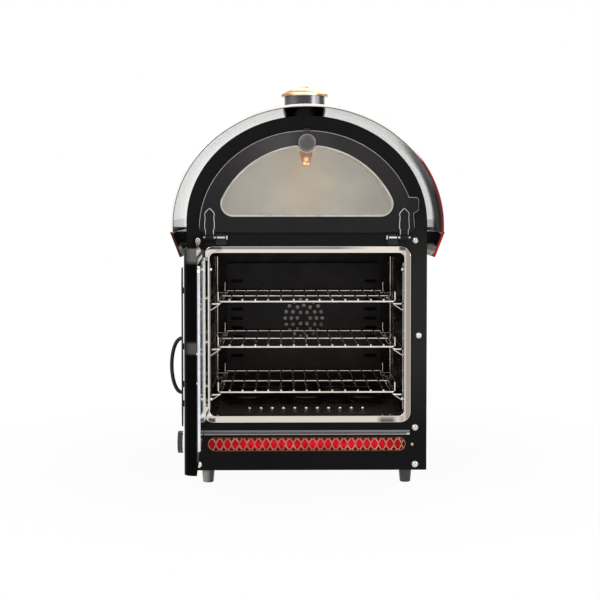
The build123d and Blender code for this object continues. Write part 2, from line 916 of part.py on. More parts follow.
flap_back_y = front_y - 0.5
flap_face_y = flap_back_y - flap_thickness
flap_pivot_y = front_y - flap_pivot_forward
glass_margin = 7
ear_z = flap_spring_z + 45
with BuildPart() as flap_frame:
    with BuildSketch(facing(flap_back_y)) as flap_outline:
        add(arch(flap_half_width, flap_rise, flap_spring_z, flap_bottom_z))
        fillet(flap_outline.vertices().group_by(Axis.Z)[0], 7)
        with BuildLine():
            Polyline(
                (flap_half_width - 6, ear_z - 20),
                (flap_half_width + 3, ear_z - 15),
                (flap_half_width + 8, ear_z - 11),
                (flap_half_width + 8, ear_z + 9),
                (flap_half_width + 4, ear_z + 13),
                (flap_half_width - 16, ear_z + 13),
                close=True,
            )
        make_face()
        add(bossed_window(0), mode=Mode.SUBTRACT)
    extrude(amount=flap_thickness)
    chamfer(flap_frame.faces().sort_by(Axis.Y)[0].outer_wire().edges(), 1)
    with BuildSketch(facing(flap_back_y)):
        add(window(-glass_margin))
    extrude(amount=glass_thickness + touch_gap, mode=Mode.SUBTRACT)
flap_frame.part.label = "flap_frame"
export_step(flap_frame.part, "parts/flap_frame.step")

with BuildPart() as flap_glass:
    with BuildSketch(facing(flap_back_y)):
        add(window(-glass_margin + touch_gap))
    extrude(amount=glass_thickness)
flap_glass.part.label = "flap_glass"
export_step(flap_glass.part, "parts/flap_glass.step")

bead_width = 3
with BuildPart() as flap_bead:
    with BuildSketch(facing(flap_back_y - glass_thickness)):
        add(bossed_window(touch_gap))
        add(bossed_window(bead_width + touch_gap), mode=Mode.SUBTRACT)
    extrude(amount=flap_thickness - glass_thickness + 1)
flap_bead.part.label = "flap_bead"
export_step(flap_bead.part, "parts/flap_bead.step")

with BuildPart() as flap_knob:
    with BuildSketch(Plane.XY.offset(knob_z)):
        with BuildLine():
            Polyline(
                (0, flap_face_y),
                (8, flap_face_y),
                (6.5, flap_face_y - 5),
                (knob_radius - 2, flap_face_y - 8),
                (knob_radius, flap_face_y - 10),
                (knob_radius, flap_face_y - 13),
            )
            RadiusArc(
                (knob_radius, flap_face_y - 13), (0, flap_face_y - 17), dome_radius(knob_radius, 4)
            )
            Line((0, flap_face_y - 17), (0, flap_face_y))
        make_face()
    revolve(axis=Axis((0, 0, knob_z), (0, 1, 0)))
flap_knob.part.label = "flap_knob"
export_step(flap_knob.part, "parts/flap_knob.step")

strap_sheet = 2.5
strap_top = flap_bottom_z + 46
knuckle_radius = 4.6
strap_edge = [(8, -41), (9.7, -38), (9.5, -27), (8.7, -18), (9.7, -12), (8.3, -8), (4.6, -4)]
with BuildPart() as flap_straps:
    for side in (-1, 1):
        right_edge = [(strap_x + half, strap_top + drop) for half, drop in strap_edge]
        left_edge = [(strap_x - half, strap_top + drop) for half, drop in strap_edge]
        foot_half = strap_edge[0][0]
        outline = [
            (strap_x + foot_half, flap_pivot_z),
            *right_edge,
            (strap_x, strap_top),
            *reversed(left_edge),
            (strap_x - foot_half, flap_pivot_z),
        ]
        with BuildSketch(facing(flap_face_y)):
            with BuildLine():
                Polyline(*[(side * x, z) for x, z in outline], close=True)
            make_face()
        extrude(amount=strap_sheet)
        with BuildSketch(from_left(side * strap_x - foot_half)):
            with Locations((flap_pivot_y, flap_pivot_z)):
                Circle(knuckle_radius)
        extrude(amount=2 * foot_half)
        with BuildSketch(from_left(side * strap_x - strap_width)):
            with Locations((flap_pivot_y, flap_pivot_z)):
                Circle(flap_pin_radius + running_gap)
        extrude(amount=2 * strap_width, mode=Mode.SUBTRACT)
flap_straps.part.label = "flap_straps"
export_step(flap_straps.part, "parts/flap_straps.step")

bracket_width = 19.5
bracket_sheet = 2.2
bracket_inner_x = strap_x - strap_width / 2 - 2 - bracket_width
with BuildPart() as flap_brackets:
    for side in (-1, 1):
        middle_x = side * (bracket_inner_x + bracket_width / 2)
        with BuildSketch(facing(front_y)):
            with Locations((middle_x, flap_pivot_z - 4)):
                Rectangle(bracket_width, 20)
        extrude(amount=bracket_sheet)
        for cheek in (-1, 1):
            cheek_x = middle_x + cheek * (bracket_width - bracket_sheet) / 2
            with BuildSketch(from_left(cheek_x - bracket_sheet / 2)):
                with Locations((flap_pivot_y, flap_pivot_z)):
                    Circle(knuckle_radius)
                with BuildLine():
                    Polyline(
                        (front_y, flap_pivot_z + 5),
                        (front_y, flap_pivot_z - 12),
                        (flap_pivot_y, flap_pivot_z - knuckle_radius + 0.5),
                        (flap_pivot_y, flap_pivot_z + knuckle_radius - 0.5),
                        close=True,
                    )
                make_face()
                with Locations((flap_pivot_y, flap_pivot_z)):
                    Circle(flap_pin_radius + running_gap, mode=Mode.SUBTRACT)
            extrude(amount=bracket_sheet)
flap_brackets.part.label = "flap_brackets"
export_step(flap_brackets.part, "parts/flap_brackets.step")

pin_inner = bracket_inner_x - 2.5
pin_outer = strap_x + strap_width / 2 + 2
with BuildPart() as flap_pins:
    for side in (-1, 1):
        low_x = min(side * (pin_inner + 2.2), side * pin_outer)
        with BuildSketch(from_left(low_x)):
            with Locations((flap_pivot_y, flap_pivot_z)):
                Circle(flap_pin_radius)
        extrude(amount=pin_outer - pin_inner - 2.2)
        head_x = min(side * pin_inner, side * (pin_inner + 2.2))
        with BuildSketch(from_left(head_x)):
            with Locations((flap_pivot_y, flap_pivot_z)):
                Circle(knuckle_radius)
        extrude(amount=2.2)
flap_pins.part.label = "flap_pins"
export_step(flap_pins.part, "parts/flap_pins.step")

with BuildPart() as flap_catch:
    with BuildSketch(from_left(-6)):
        with BuildLine():
            Polyline(
                (front_y, flap_top_z + 0.5),
                (front_y - 9, flap_top_z + 0.5),
                (front_y - 9, flap_top_z + 4),
                (front_y - 3, flap_top_z + 7),
                (front_y, flap_top_z + 7),
                close=True,
            )
        make_face()
    extrude(amount=12)
flap_catch.part.label = "flap_catch"
export_step(flap_catch.part, "parts/flap_catch.step")

# ---- Main door ----

hinge_x = -(mouth_width / 2 + bezel_bar + door_overlap) - hinge_out
door_inner_y = bezel_face_y - 1.5
hinge_y = door_inner_y - hinge_forward
door_width = 2 * (mouth_width / 2 + bezel_bar + door_overlap)
swing = radians(door_angle)
door_across = (cos(swing), -sin(swing), 0)
door_out = (-sin(swing), -cos(swing), 0)
door_plane = Plane(origin=(hinge_x, hinge_y, 0), x_dir=door_across, z_dir=door_out)
door_back = -hinge_forward
door_face = door_back + door_thickness
door_centre = (hinge_out + door_width / 2, door_bottom + door_height / 2)


def door_panel(inset, corner):
    """A rounded rectangle on the door, drawn in from its edges, in the door's own view."""
    with BuildSketch(mode=Mode.PRIVATE) as face:
        with Locations(door_centre):
            RectangleRounded(door_width - 2 * inset, door_height - 2 * inset, corner)
    return face.sketch


def door_over_mouth(outset, corner):
    """A rounded rectangle on the door, this much wider than the oven's mouth all round."""
    with BuildSketch(mode=Mode.PRIVATE) as face:
        with Locations((door_centre[0], cavity_z)):
            RectangleRounded(mouth_width + 2 * outset, mouth_height + 2 * outset, corner)
    return face.sketch


def hinge_plan(z):
    """A level plane on the door's hinge axis, with X across the door and Y towards its back."""
    return Plane(origin=(hinge_x, hinge_y, z), x_dir=door_across, z_dir=(0, 0, 1))


def door_section(inset, back):
    """The door from above: in from its face and edges, up to this far from its back."""
    depth = door_thickness - inset - back
    with BuildSketch(mode=Mode.PRIVATE) as face:
        with Locations((door_centre[0], hinge_forward - back - depth / 2)):
            Rectangle(door_width - 2 * inset, depth)
        free_corner = face.vertices().sort_by(Axis((0, 0, 0), (1, -1, 0)))[-1]
        fillet(free_corner, door_roll - inset)
    return face.sketch


lining_inset = door_skin + touch_gap
handle_u = hinge_out + door_width - 51
handle_z = cavity_z - 12
fixing_pitch = 46
fixing_radius = 1.2
fixing_length = 9
fixing_places = [
    (hinge_out + door_width - 4.1, handle_z + end * fixing_pitch / 2) for end in (-1, 1)
]
with BuildPart() as door_outer:
    with BuildSketch(hinge_plan(door_bottom)):
        add(door_section(0, 0))
    extrude(amount=door_height)
    with BuildSketch(hinge_plan(door_bottom + door_skin)):
        add(door_section(door_skin, 0))
    extrude(amount=door_height - 2 * door_skin, mode=Mode.SUBTRACT)
door_outer.part.label = "door_outer"
export_step(door_outer.part, "parts/door_outer.step")

plug_outset = -5
with BuildPart() as door_inner:
    with BuildSketch(door_plane.offset(door_back)):
        add(door_panel(lining_inset, 11))
        with Locations(fixing_places):
            Circle(fixing_radius + hole_gap, mode=Mode.SUBTRACT)
    extrude(amount=door_lining)
    with BuildSketch(door_plane.offset(door_back)):
        add(door_over_mouth(plug_outset, 12))
    extrude(amount=-5, taper=20)
    with BuildSketch(door_plane.offset(door_back + door_lining)):
        add(door_over_mouth(plug_outset - door_lining, 11))
    extrude(amount=-5, taper=20, mode=Mode.SUBTRACT)
door_inner.part.label = "door_inner"
export_step(door_inner.part, "parts/door_inner.step")

with BuildPart() as door_insulation:
    with BuildSketch(hinge_plan(door_bottom + lining_inset)):
        add(door_section(lining_inset, door_lining))
    extrude(amount=door_height - 2 * lining_inset)
    with BuildSketch(door_plane.offset(door_back)):
        with Locations(fixing_places):
            Circle(fixing_radius + hole_gap)
    extrude(amount=fixing_length + 1, mode=Mode.SUBTRACT)
door_insulation.part.label = "door_insulation"
export_step(door_insulation.part, "parts/door_insulation.step")

seal_outset = bezel_bar / 2 + 1.5
seal_width = 4.5
with BuildPart() as door_seal:
    with BuildSketch(door_plane.offset(door_back)):
        add(door_over_mouth(seal_outset, 12))
        add(door_over_mouth(seal_outset - seal_width, 7), mode=Mode.SUBTRACT)
    extrude(amount=-1.2)
door_seal.part.label = "door_seal"
export_step(door_seal.part, "parts/door_seal.step")

handle_length = 86
handle_reach = 24
handle_wire = 3
backplate_z = cavity_z + 17
backplate_length = door_height - 100
backplate_width = 24
backplate_sheet = 2.2
backplate_off = 3
backplate_face = door_face + backplate_off + backplate_sheet
with BuildPart() as door_backplate:
    with BuildSketch(door_plane.offset(backplate_face - backplate_sheet)):
        with Locations((handle_u, backplate_z)):
            SlotOverall(backplate_length, backplate_width * 0.66, rotation=90)
            with GridLocations(1, backplate_length - 60, 1, 2):
                Ellipse(backplate_width / 2, backplate_width * 0.8)
        with Locations((handle_u, handle_z)):
            Ellipse(backplate_width / 2, handle_length * 0.7)
    extrude(amount=backplate_sheet)
    outer_face = door_backplate.faces().sort_by(Axis(origin=(0, 0, 0), direction=door_out))[-1]
    chamfer(outer_face.edges(), 0.8)
    spacer_levels = (handle_z - 30, handle_z + 30, backplate_z - 90, backplate_z + 90)
    with BuildSketch(door_plane.offset(door_face)):
        with Locations([(handle_u, level) for level in spacer_levels]):
            Circle(5)
    extrude(amount=backplate_off)
door_backplate.part.label = "door_backplate"
export_step(door_backplate.part, "parts/door_backplate.step")

with BuildPart() as door_handle:
    grip_plane = Plane(
        origin=door_plane.from_local_coords((handle_u, handle_z, backplate_face)),
        x_dir=(0, 0, 1),
        z_dir=door_across,
    )
    lift = door_face + handle_reach - backplate_face - handle_wire
    with BuildLine(grip_plane) as grip:
        EllipticalCenterArc((0, 0), handle_length / 2, lift, arc_size=180)
    with BuildSketch(Plane(origin=grip.line @ 0, z_dir=grip.line % 0)):
        Circle(handle_wire)
    sweep(path=grip.line)
door_handle.part.label = "door_handle"
export_step(door_handle.part, "parts/door_handle.step")

with BuildPart() as door_fixings:
    for place in fixing_places:
        with BuildSketch(door_plane.offset(door_back)):
            with Locations(place):
                Circle(fixing_radius)
        extrude(amount=fixing_length)
        with BuildSketch(door_plane.offset(door_back)):
            with Locations(place):
                Circle(2.2)
        extrude(amount=-1.1, taper=25)
door_fixings.part.label = "door_fixings"
export_step(door_fixings.part, "parts/door_fixings.step")

hinge_knuckle = 4.4
tab_sheet = 2.5
upper_tab_z = screw_levels[2] - 10.1
lower_tab_z = screw_levels[1] + 10.1 - tab_sheet


upper_knuckle_z = upper_tab_z - touch_gap - hinge_height
lower_knuckle_z = lower_tab_z + tab_sheet + touch_gap
with BuildPart() as hinge_leaves:
    for low in (lower_knuckle_z, upper_knuckle_z):
        with BuildSketch(hinge_plan(low)):
            Circle(hinge_knuckle)
            with Locations((hinge_out - 1, -1)):
                Rectangle(2, 15)
            Circle(hinge_pin_radius + running_gap, mode=Mode.SUBTRACT)
        extrude(amount=hinge_height)
hinge_leaves.part.label = "hinge_leaves"
export_step(hinge_leaves.part, "parts/hinge_leaves.step")

bracket_low_x = -(half_width - 13)
bracket_high_x = hinge_x + hinge_knuckle
bracket_middle_x = (bracket_low_x + bracket_high_x) / 2
with BuildPart() as hinge_brackets:
    for tab_z, leg_middle, pin_low in (
        (upper_tab_z, screw_levels[2] - 2, upper_knuckle_z - 2),
        (lower_tab_z, screw_levels[1] + 2, lower_tab_z + tab_sheet),
    ):
        with BuildSketch(facing(front_y)):
            with Locations((bracket_middle_x, leg_middle)):
                Rectangle(bracket_high_x - bracket_low_x, 24)
        extrude(amount=bracket_leg)
        with BuildSketch(Plane.XY.offset(tab_z)):
            with Locations((hinge_x, (front_y + hinge_y) / 2)):
                Rectangle(2 * hinge_knuckle, front_y - hinge_y)
            with Locations((hinge_x, hinge_y)):
                Circle(hinge_knuckle)
        extrude(amount=tab_sheet)
        with BuildSketch(Plane.XY.offset(pin_low)):
            with Locations((hinge_x, hinge_y)):
                Circle(hinge_pin_radius)
        extrude(amount=hinge_height + 2 + touch_gap)
    with BuildSketch(facing(front_y)):
        with Locations([(-screw_x, level) for level in screw_levels[1:]]):
            Circle(screw_radius + hole_gap)
    extrude(amount=bracket_leg, mode=Mode.SUBTRACT)
hinge_brackets.part.label = "hinge_brackets"
export_step(hinge_brackets.part, "parts/hinge_brackets.step")

# ---- Canopy and chimney ----

canopy_front_y = front_y - canopy_front
canopy_back_y = back_y + canopy_back
canopy_length = canopy_back_y - canopy_front_y
bead_half = canopy_half_width - canopy_sheet / 2
bead_rise = canopy_rise - canopy_sheet / 2
with BuildPart() as canopy_shell:
    with BuildSketch(facing(canopy_front_y)):
        add(arch(canopy_half_width, canopy_rise, canopy_spring_z, canopy_foot_z))
        add(
            arch(
                canopy_half_width - canopy_sheet,
                canopy_rise - canopy_sheet,
                canopy_spring_z,
                canopy_foot_z,
            ),
            mode=Mode.SUBTRACT,
        )
    extrude(amount=-canopy_length)
    for edge_y in (canopy_front_y, canopy_back_y):
        with BuildLine(facing(edge_y)) as edge:
            Line((bead_half, canopy_foot_z), (bead_half, canopy_spring_z))
            EllipticalCenterArc((0, canopy_spring_z), bead_half, bead_rise, arc_size=180)
            Line((-bead_half, canopy_spring_z), (-bead_half, canopy_foot_z))
        with BuildSketch(Plane.XY.offset(canopy_foot_z)):
            with Locations((bead_half, edge_y)):
                Circle(canopy_bead)
        sweep(path=edge.line)
    with BuildSketch(Plane.XY.offset(roof_z)):
        Circle(chimney_radius + hole_gap)
    extrude(amount=canopy_rise, mode=Mode.SUBTRACT)
canopy_shell.part.label = "canopy_shell"
export_step(canopy_shell.part, "parts/canopy_shell.step")

rail_outer_x = canopy_half_width + rail_step
rail_slope = rail_lean / rail_drop
rail_span = rail_thickness * sqrt(1 + rail_slope**2)


def rail_inner_x(z):
    """How far out the rail's inner face stands at this level."""
    return rail_outer_x - rail_span - (canopy_foot_z - z) * rail_slope


with BuildPart() as canopy_rails:
    for side in (-1, 1):
        rail_foot_z = canopy_foot_z - rail_drop
        with BuildSketch(facing(canopy_front_y)):
            with BuildLine():
                Polyline(
                    (side * rail_outer_x, canopy_foot_z),
                    (side * (rail_outer_x - rail_lean), rail_foot_z),
                    (side * rail_inner_x(rail_foot_z + 1.5), rail_foot_z + 1.5),
                    (side * rail_inner_x(canopy_foot_z), canopy_foot_z),
                    close=True,
                )
            make_face()
        extrude(amount=-canopy_length)
canopy_rails.part.label = "canopy_rails"
export_step(canopy_rails.part, "parts/canopy_rails.step")

bracket_foot_z = canopy_foot_z - 22
bracket_top_z = canopy_foot_z - touch_gap
bracket_length = 25
bracket_wall = 2


def bracket_outline(side, wall):
    """The bracket's outline in the front view, drawn in by a wall on every side."""
    low = bracket_foot_z + wall
    high = bracket_top_z - wall
    reach = touch_gap + wall * sqrt(1 + rail_slope**2)
    with BuildSketch(mode=Mode.PRIVATE) as face:
        with BuildLine():
            Polyline(
                (side * (half_width + wall), low),
                (side * (rail_inner_x(low) - reach), low),
                (side * (rail_inner_x(high) - reach), high),
                (side * (half_width + wall), high),
                close=True,
            )
        make_face()
    return face.sketch


with BuildPart() as canopy_brackets:
    for side in (-1, 1):
        for web_y, away in ((front_y + 2, 1), (back_y - 2, -1)):
            with BuildSketch(facing(web_y)):
                add(bracket_outline(side, 0))
            extrude(amount=-away * bracket_length)
            with BuildSketch(facing(web_y + away * bracket_wall)):
                add(bracket_outline(side, bracket_wall))
            extrude(amount=-away * bracket_length, mode=Mode.SUBTRACT)
canopy_brackets.part.label = "canopy_brackets"
export_step(canopy_brackets.part, "parts/canopy_brackets.step")

chimney_foot_z = display_floor_z + display_rise + display_sheet + touch_gap
with BuildPart() as chimney_duct:
    with BuildSketch(Plane.XY.offset(chimney_foot_z)):
        Circle(chimney_radius)
        Circle(chimney_radius - chimney_sheet, mode=Mode.SUBTRACT)
    extrude(amount=chimney_top_z - chimney_foot_z)
chimney_duct.part.label = "chimney_duct"
export_step(chimney_duct.part, "parts/chimney_duct.step")

collar_height = 29
collar_top_z = chimney_top_z + 3
with BuildPart() as chimney_collar:
    with BuildSketch(Plane.XY.offset(collar_top_z - collar_height)):
        Circle(chimney_radius + touch_gap + 1.5)
        Circle(chimney_radius + touch_gap, mode=Mode.SUBTRACT)
    extrude(amount=collar_height)
chimney_collar.part.label = "chimney_collar"
export_step(chimney_collar.part, "parts/chimney_collar.step")

cap_sheet = 1.2
cap_z = collar_top_z + touch_gap
skirt_radius = chimney_radius - chimney_sheet - touch_gap
with BuildPart() as chimney_cap:
    with BuildSketch(Plane.XZ):
        with BuildLine():
            Polyline(
                (0, cap_z + cap_rise - cap_sheet),
                (0, cap_z + cap_rise),
                (10, cap_z + cap_rise - 0.6),
                (14, cap_z + cap_rise - 4),
            )
            RadiusArc((14, cap_z + cap_rise - 4), (cap_radius - 2, cap_z + 5), 60)
            Polyline(
                (cap_radius - 2, cap_z + 5),
                (cap_radius, cap_z + 4),
                (cap_radius, cap_z),
                (skirt_radius - cap_sheet, cap_z),
                (skirt_radius - cap_sheet, cap_z + cap_sheet),
                (cap_radius - 6, cap_z + cap_sheet),
            )
            Line((cap_radius - 6, cap_z + cap_sheet), (cap_radius - 6, cap_z + 4))
            Line((cap_radius - 6, cap_z + 4), (14, cap_z + cap_rise - 6))
            Line((14, cap_z + cap_rise - 6), (0, cap_z + cap_rise - cap_sheet))
        make_face()
    revolve(axis=Axis.Z)
    with BuildSketch(Plane.XY.offset(cap_z)):
        Circle(skirt_radius)
        Circle(skirt_radius - cap_sheet, mode=Mode.SUBTRACT)
    extrude(amount=-10)
chimney_cap.part.label = "chimney_cap"
export_step(chimney_cap.part, "parts/chimney_cap.step")

# ---- Controls and wiring ----

panel_inside_x = -half_width + skin
with BuildPart() as thermostat:
    with BuildSketch(from_left(panel_inside_x)):
        with Locations((thermostat_y, control_z)):
            Rectangle(30, 40)
    extrude(amount=32)
    with BuildSketch(from_left(panel_inside_x)):
        with Locations((thermostat_y, control_z)):
            Circle(spindle_radius + running_gap)
    extrude(amount=14, mode=Mode.SUBTRACT)
thermostat.part.label = "thermostat"
export_step(thermostat.part, "parts/thermostat.step")

knob_face_x = -half_width - 0.5
with BuildPart() as thermostat_knob:
    with BuildSketch(from_left(knob_face_x)):
        with Locations((thermostat_y, control_z)):
            Circle(control_knob_radius)
            with PolarLocations(control_knob_radius + 1.6, 12):
                Circle(2.6, mode=Mode.SUBTRACT)
    extrude(amount=-control_knob_length)
    fillet(thermostat_knob.faces().sort_by(Axis.X)[0].edges(), 1)
    with BuildSketch(from_left(knob_face_x)):
        with Locations((thermostat_y, control_z)):
            Circle(control_knob_radius)
    extrude(amount=-3)
    with BuildSketch(from_left(knob_face_x - control_knob_length)):
        with Locations((thermostat_y, control_z + control_knob_radius / 2)):
            Rectangle(2, control_knob_radius * 0.7)
    extrude(amount=0.8, mode=Mode.SUBTRACT)
    with BuildSketch(from_left(knob_face_x)):
        with Locations((thermostat_y, control_z)):
            Circle(spindle_radius)
    extrude(amount=12)
thermostat_knob.part.label = "thermostat_knob"
export_step(thermostat_knob.part, "parts/thermostat_knob.step")

rocker_width = 15
rocker_height = 22
rocker_tilt = 7
rocker_pin_radius = 1.6
rocker_pin_length = 19
rocker_pivot_x = -half_width + 2
with BuildPart() as power_switch:
    with BuildSketch(from_left(-half_width)):
        with Locations((switch_y, control_z)):
            Rectangle(switch_width + 4, switch_height + 4)
    extrude(amount=-1.5)
    with BuildSketch(from_left(-half_width)):
        with Locations((switch_y, control_z)):
            Rectangle(switch_width, switch_height)
    extrude(amount=24)
    with BuildSketch(from_left(-half_width - 1.5)):
        with Locations((switch_y, control_z)):
            Rectangle(rocker_width + 1, rocker_height + 5)
    extrude(amount=10, mode=Mode.SUBTRACT)
    pin_room = rocker_pin_length + 2 * touch_gap
    with BuildSketch(facing(switch_y - pin_room / 2)):
        with Locations((rocker_pivot_x, control_z)):
            Circle(rocker_pin_radius + running_gap)
    extrude(amount=-pin_room, mode=Mode.SUBTRACT)
power_switch.part.label = "power_switch"
export_step(power_switch.part, "parts/power_switch.step")

with BuildPart() as power_rocker:
    with BuildSketch(facing(switch_y - rocker_width / 2)):
        with Locations((rocker_pivot_x, control_z)):
            Polygon(
                (4, -rocker_height / 2 + 3),
                (4, rocker_height / 2 - 3),
                (-7, rocker_height / 2),
                (-5.4, 0),
                (-7, -rocker_height / 2),
                rotation=-rocker_tilt,
                align=None,
            )
    extrude(amount=-rocker_width)
    with BuildSketch(facing(switch_y - rocker_pin_length / 2)):
        with Locations((rocker_pivot_x, control_z)):
            Circle(rocker_pin_radius)
    extrude(amount=-rocker_pin_length)
power_rocker.part.label = "power_rocker"
export_step(power_rocker.part, "parts/power_rocker.step")

block_x = half_width - 135
with BuildPart() as terminal_block:
    with BuildSketch(Plane.XY.offset(foot_height + skin)):
        with Locations((block_x, back_y - 40)):
            Rectangle(60, 22)
    extrude(amount=20)
    with BuildSketch(Plane.XY.offset(foot_height + skin + 20)):
        with Locations((block_x, back_y - 40)):
            with GridLocations(18, 1, 3, 1):
                Circle(3)
    extrude(amount=-8, mode=Mode.SUBTRACT)
terminal_block.part.label = "terminal_block"
export_step(terminal_block.part, "parts/terminal_block.step")

gland_inside = back_y - back_sheet - 8
gland_outside = back_y + 18
with BuildPart() as cable_gland:
    with BuildSketch(Plane.XY.offset(gland_z)):
        with BuildLine():
            Polyline(
                (gland_x + gland_bore, gland_inside),
                (gland_x + gland_thread, gland_inside),
                (gland_x + gland_thread, back_y),
                (gland_x + gland_thread + 3, back_y),
                (gland_x + gland_thread + 3, gland_outside - 6),
                (gland_x + gland_bore + 2, gland_outside),
                (gland_x + gland_bore, gland_outside),
                close=True,
            )
        make_face()
    revolve(axis=Axis((gland_x, 0, gland_z), (0, 1, 0)))
cable_gland.part.label = "cable_gland"
export_step(cable_gland.part, "parts/cable_gland.step")
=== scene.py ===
import json
import math

import bmesh
import bpy
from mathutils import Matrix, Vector


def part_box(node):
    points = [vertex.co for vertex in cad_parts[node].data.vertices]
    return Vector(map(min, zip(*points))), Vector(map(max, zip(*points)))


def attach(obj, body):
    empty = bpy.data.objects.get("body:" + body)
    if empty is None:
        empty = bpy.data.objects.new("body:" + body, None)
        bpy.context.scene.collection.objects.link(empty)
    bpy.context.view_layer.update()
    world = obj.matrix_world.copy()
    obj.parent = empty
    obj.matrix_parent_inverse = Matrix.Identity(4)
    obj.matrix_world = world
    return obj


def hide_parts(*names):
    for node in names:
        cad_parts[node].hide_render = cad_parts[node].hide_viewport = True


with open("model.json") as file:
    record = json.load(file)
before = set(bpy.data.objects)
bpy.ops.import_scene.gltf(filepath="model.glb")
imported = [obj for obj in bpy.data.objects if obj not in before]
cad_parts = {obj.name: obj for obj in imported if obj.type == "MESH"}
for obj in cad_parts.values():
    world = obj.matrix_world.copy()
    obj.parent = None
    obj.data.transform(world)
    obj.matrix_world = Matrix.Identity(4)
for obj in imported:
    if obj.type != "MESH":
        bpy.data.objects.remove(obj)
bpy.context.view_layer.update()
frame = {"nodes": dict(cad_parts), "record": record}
cad = frame["nodes"]

# ---- Camera, floor and light, in metres, degrees and watts ----

EYE = (-0.0465, -2.660, 0.5231)
PITCH_DOWN = 2.0
YAW_RIGHT = 0.80
SHIFT_UP = -0.0842
LENS = 77.07
SENSOR_WIDTH = 36.0

WHITE = (1.0, 1.0, 1.0, 1.0)
ROOM_LIGHT = 0.45
FLOOR_REACH = 6.0
FLOOR_CHALK = (0.9, 0.9, 0.9, 1)
# The floor's share of plain white under the part, and the distances over which it rises to 1
FLOOR_WHITE = 0.94
FLOOR_NEAR = 0.30
FLOOR_FAR = 0.80

# Name, place, size and power of each lamp outside the part, and what they all point at
STUDIO_LAMPS = (
    ("key", (-1.6, -2.4, 2.3), 1.4, 26.0),
    ("fill", (1.9, -2.0, 1.5), 1.6, 15.0),
    ("back", (0.4, 2.2, 2.4), 1.8, 18.0),
)
LAMP_AIM = (0, 0, 0.35)

# The light of the lamp in the display compartment, and how far under the lamp's middle it is
DISPLAY_DROP = 0.020
DISPLAY_COLOUR = (1.0, 0.88, 0.74)
DISPLAY_POWER = 0.40
DISPLAY_SIZE = 0.006


def add_object(name, data):
    """An object of this data, put in the scene."""
    made = bpy.data.objects.new(name, data)
    bpy.context.scene.collection.objects.link(made)
    return made


def middle_of(name):
    """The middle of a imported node's box."""
    low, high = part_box(name)
    return (Vector(low) + Vector(high)) / 2


def clean_tree(holder):
    """The empty node tree of a material or a world."""
    holder.use_nodes = True
    holder.node_tree.nodes.clear()
    return holder.node_tree


def node(tree, kind, settings=None, **inputs):
    """A shader node with its settings, and its inputs set or linked."""
    made = tree.nodes.new("ShaderNode" + kind)
    for name, value in (settings or {}).items():
        setattr(made, name, value)
    for name, value in inputs.items():
        socket = made.inputs[name.replace("_", " ")]
        if isinstance(value, bpy.types.NodeSocket):
            tree.links.new(value, socket)
        else:
            socket.default_value = value
    return made


def ramp(tree, value, low, high, start, end):
    """The value from low..high, spread over start..end and kept inside it."""
    return node(
        tree,
        "MapRange",
        Value=value,
        From_Min=low,
        From_Max=high,
        To_Min=start,
        To_Max=end,
    ).outputs[0]


def combine(tree, operation, first, second):
    """Two values put together by a Math node's operation."""
    made = node(tree, "Math", {"operation": operation})
    tree.links.new(first, made.inputs[0])
    tree.links.new(second, made.inputs[1])
    return made.outputs[0]


def show_mix(tree, share, first, second, output="OutputMaterial"):
    """Shows the first shader, and by the share the second one in its place."""
    mixed = node(tree, "MixShader", Fac=share)
    tree.links.new(first.outputs[0], mixed.inputs[1])
    tree.links.new(second.outputs[0], mixed.inputs[2])
    tree.links.new(mixed.outputs[0], node(tree, output).inputs["Surface"])


def seen_white(tree):
    """1 for the rays that look at the background directly, in metal or through glass."""
    path = node(tree, "LightPath").outputs
    indirect = combine(tree, "MAXIMUM", path["Is Glossy Ray"], path["Is Transmission Ray"])
    return combine(tree, "MAXIMUM", indirect, path["Is Camera Ray"])


def build_camera():
    """The view of the photo, fitted to its outlines."""
    camera = bpy.data.cameras.new("camera")
    camera.lens = LENS
    camera.shift_y = SHIFT_UP
    camera.sensor_width = SENSOR_WIDTH
    view = add_object("camera", camera)
    view.location = EYE
    view.rotation_euler = (math.radians(90 - PITCH_DOWN), 0.0, math.radians(-YAW_RIGHT))
    bpy.context.scene.camera = view
    bpy.context.scene.view_settings.view_transform = "Standard"


def build_floor():
    """A white floor, with a faint shadow under the part."""
    mesh = bpy.data.meshes.new("floor")
    reach = FLOOR_REACH
    corners = [(-reach, -reach, 0), (reach, -reach, 0), (reach, reach, 0), (-reach, reach, 0)]
    mesh.from_pydata(corners, [], [(0, 1, 2, 3)])
    floor = add_object("floor", mesh)
    paint = bpy.data.materials.new("floor_paint")
    tree = clean_tree(paint)
    chalk = node(tree, "BsdfDiffuse", Color=FLOOR_CHALK)
    glow = node(tree, "Emission", Color=WHITE, Strength=1.0)
    away = node(tree, "VectorMath", {"operation": "LENGTH"})
    tree.links.new(node(tree, "TexCoord").outputs["Object"], away.inputs[0])
    plain = ramp(tree, away.outputs["Value"], FLOOR_NEAR, FLOOR_FAR, FLOOR_WHITE, 1.0)
    show_mix(tree, combine(tree, "MULTIPLY", seen_white(tree), plain), chalk, glow)
    mesh.materials.append(paint)


def build_world():
    """Plain white where it is looked at, and a dimmer light on the part."""
    world = bpy.data.worlds.new("studio")
    bpy.context.scene.world = world
    tree = clean_tree(world)
    dim = node(tree, "Background", Color=WHITE, Strength=ROOM_LIGHT)
    plain = node(tree, "Background", Color=WHITE, Strength=1.0)
    show_mix(tree, seen_white(tree), dim, plain, "OutputWorld")


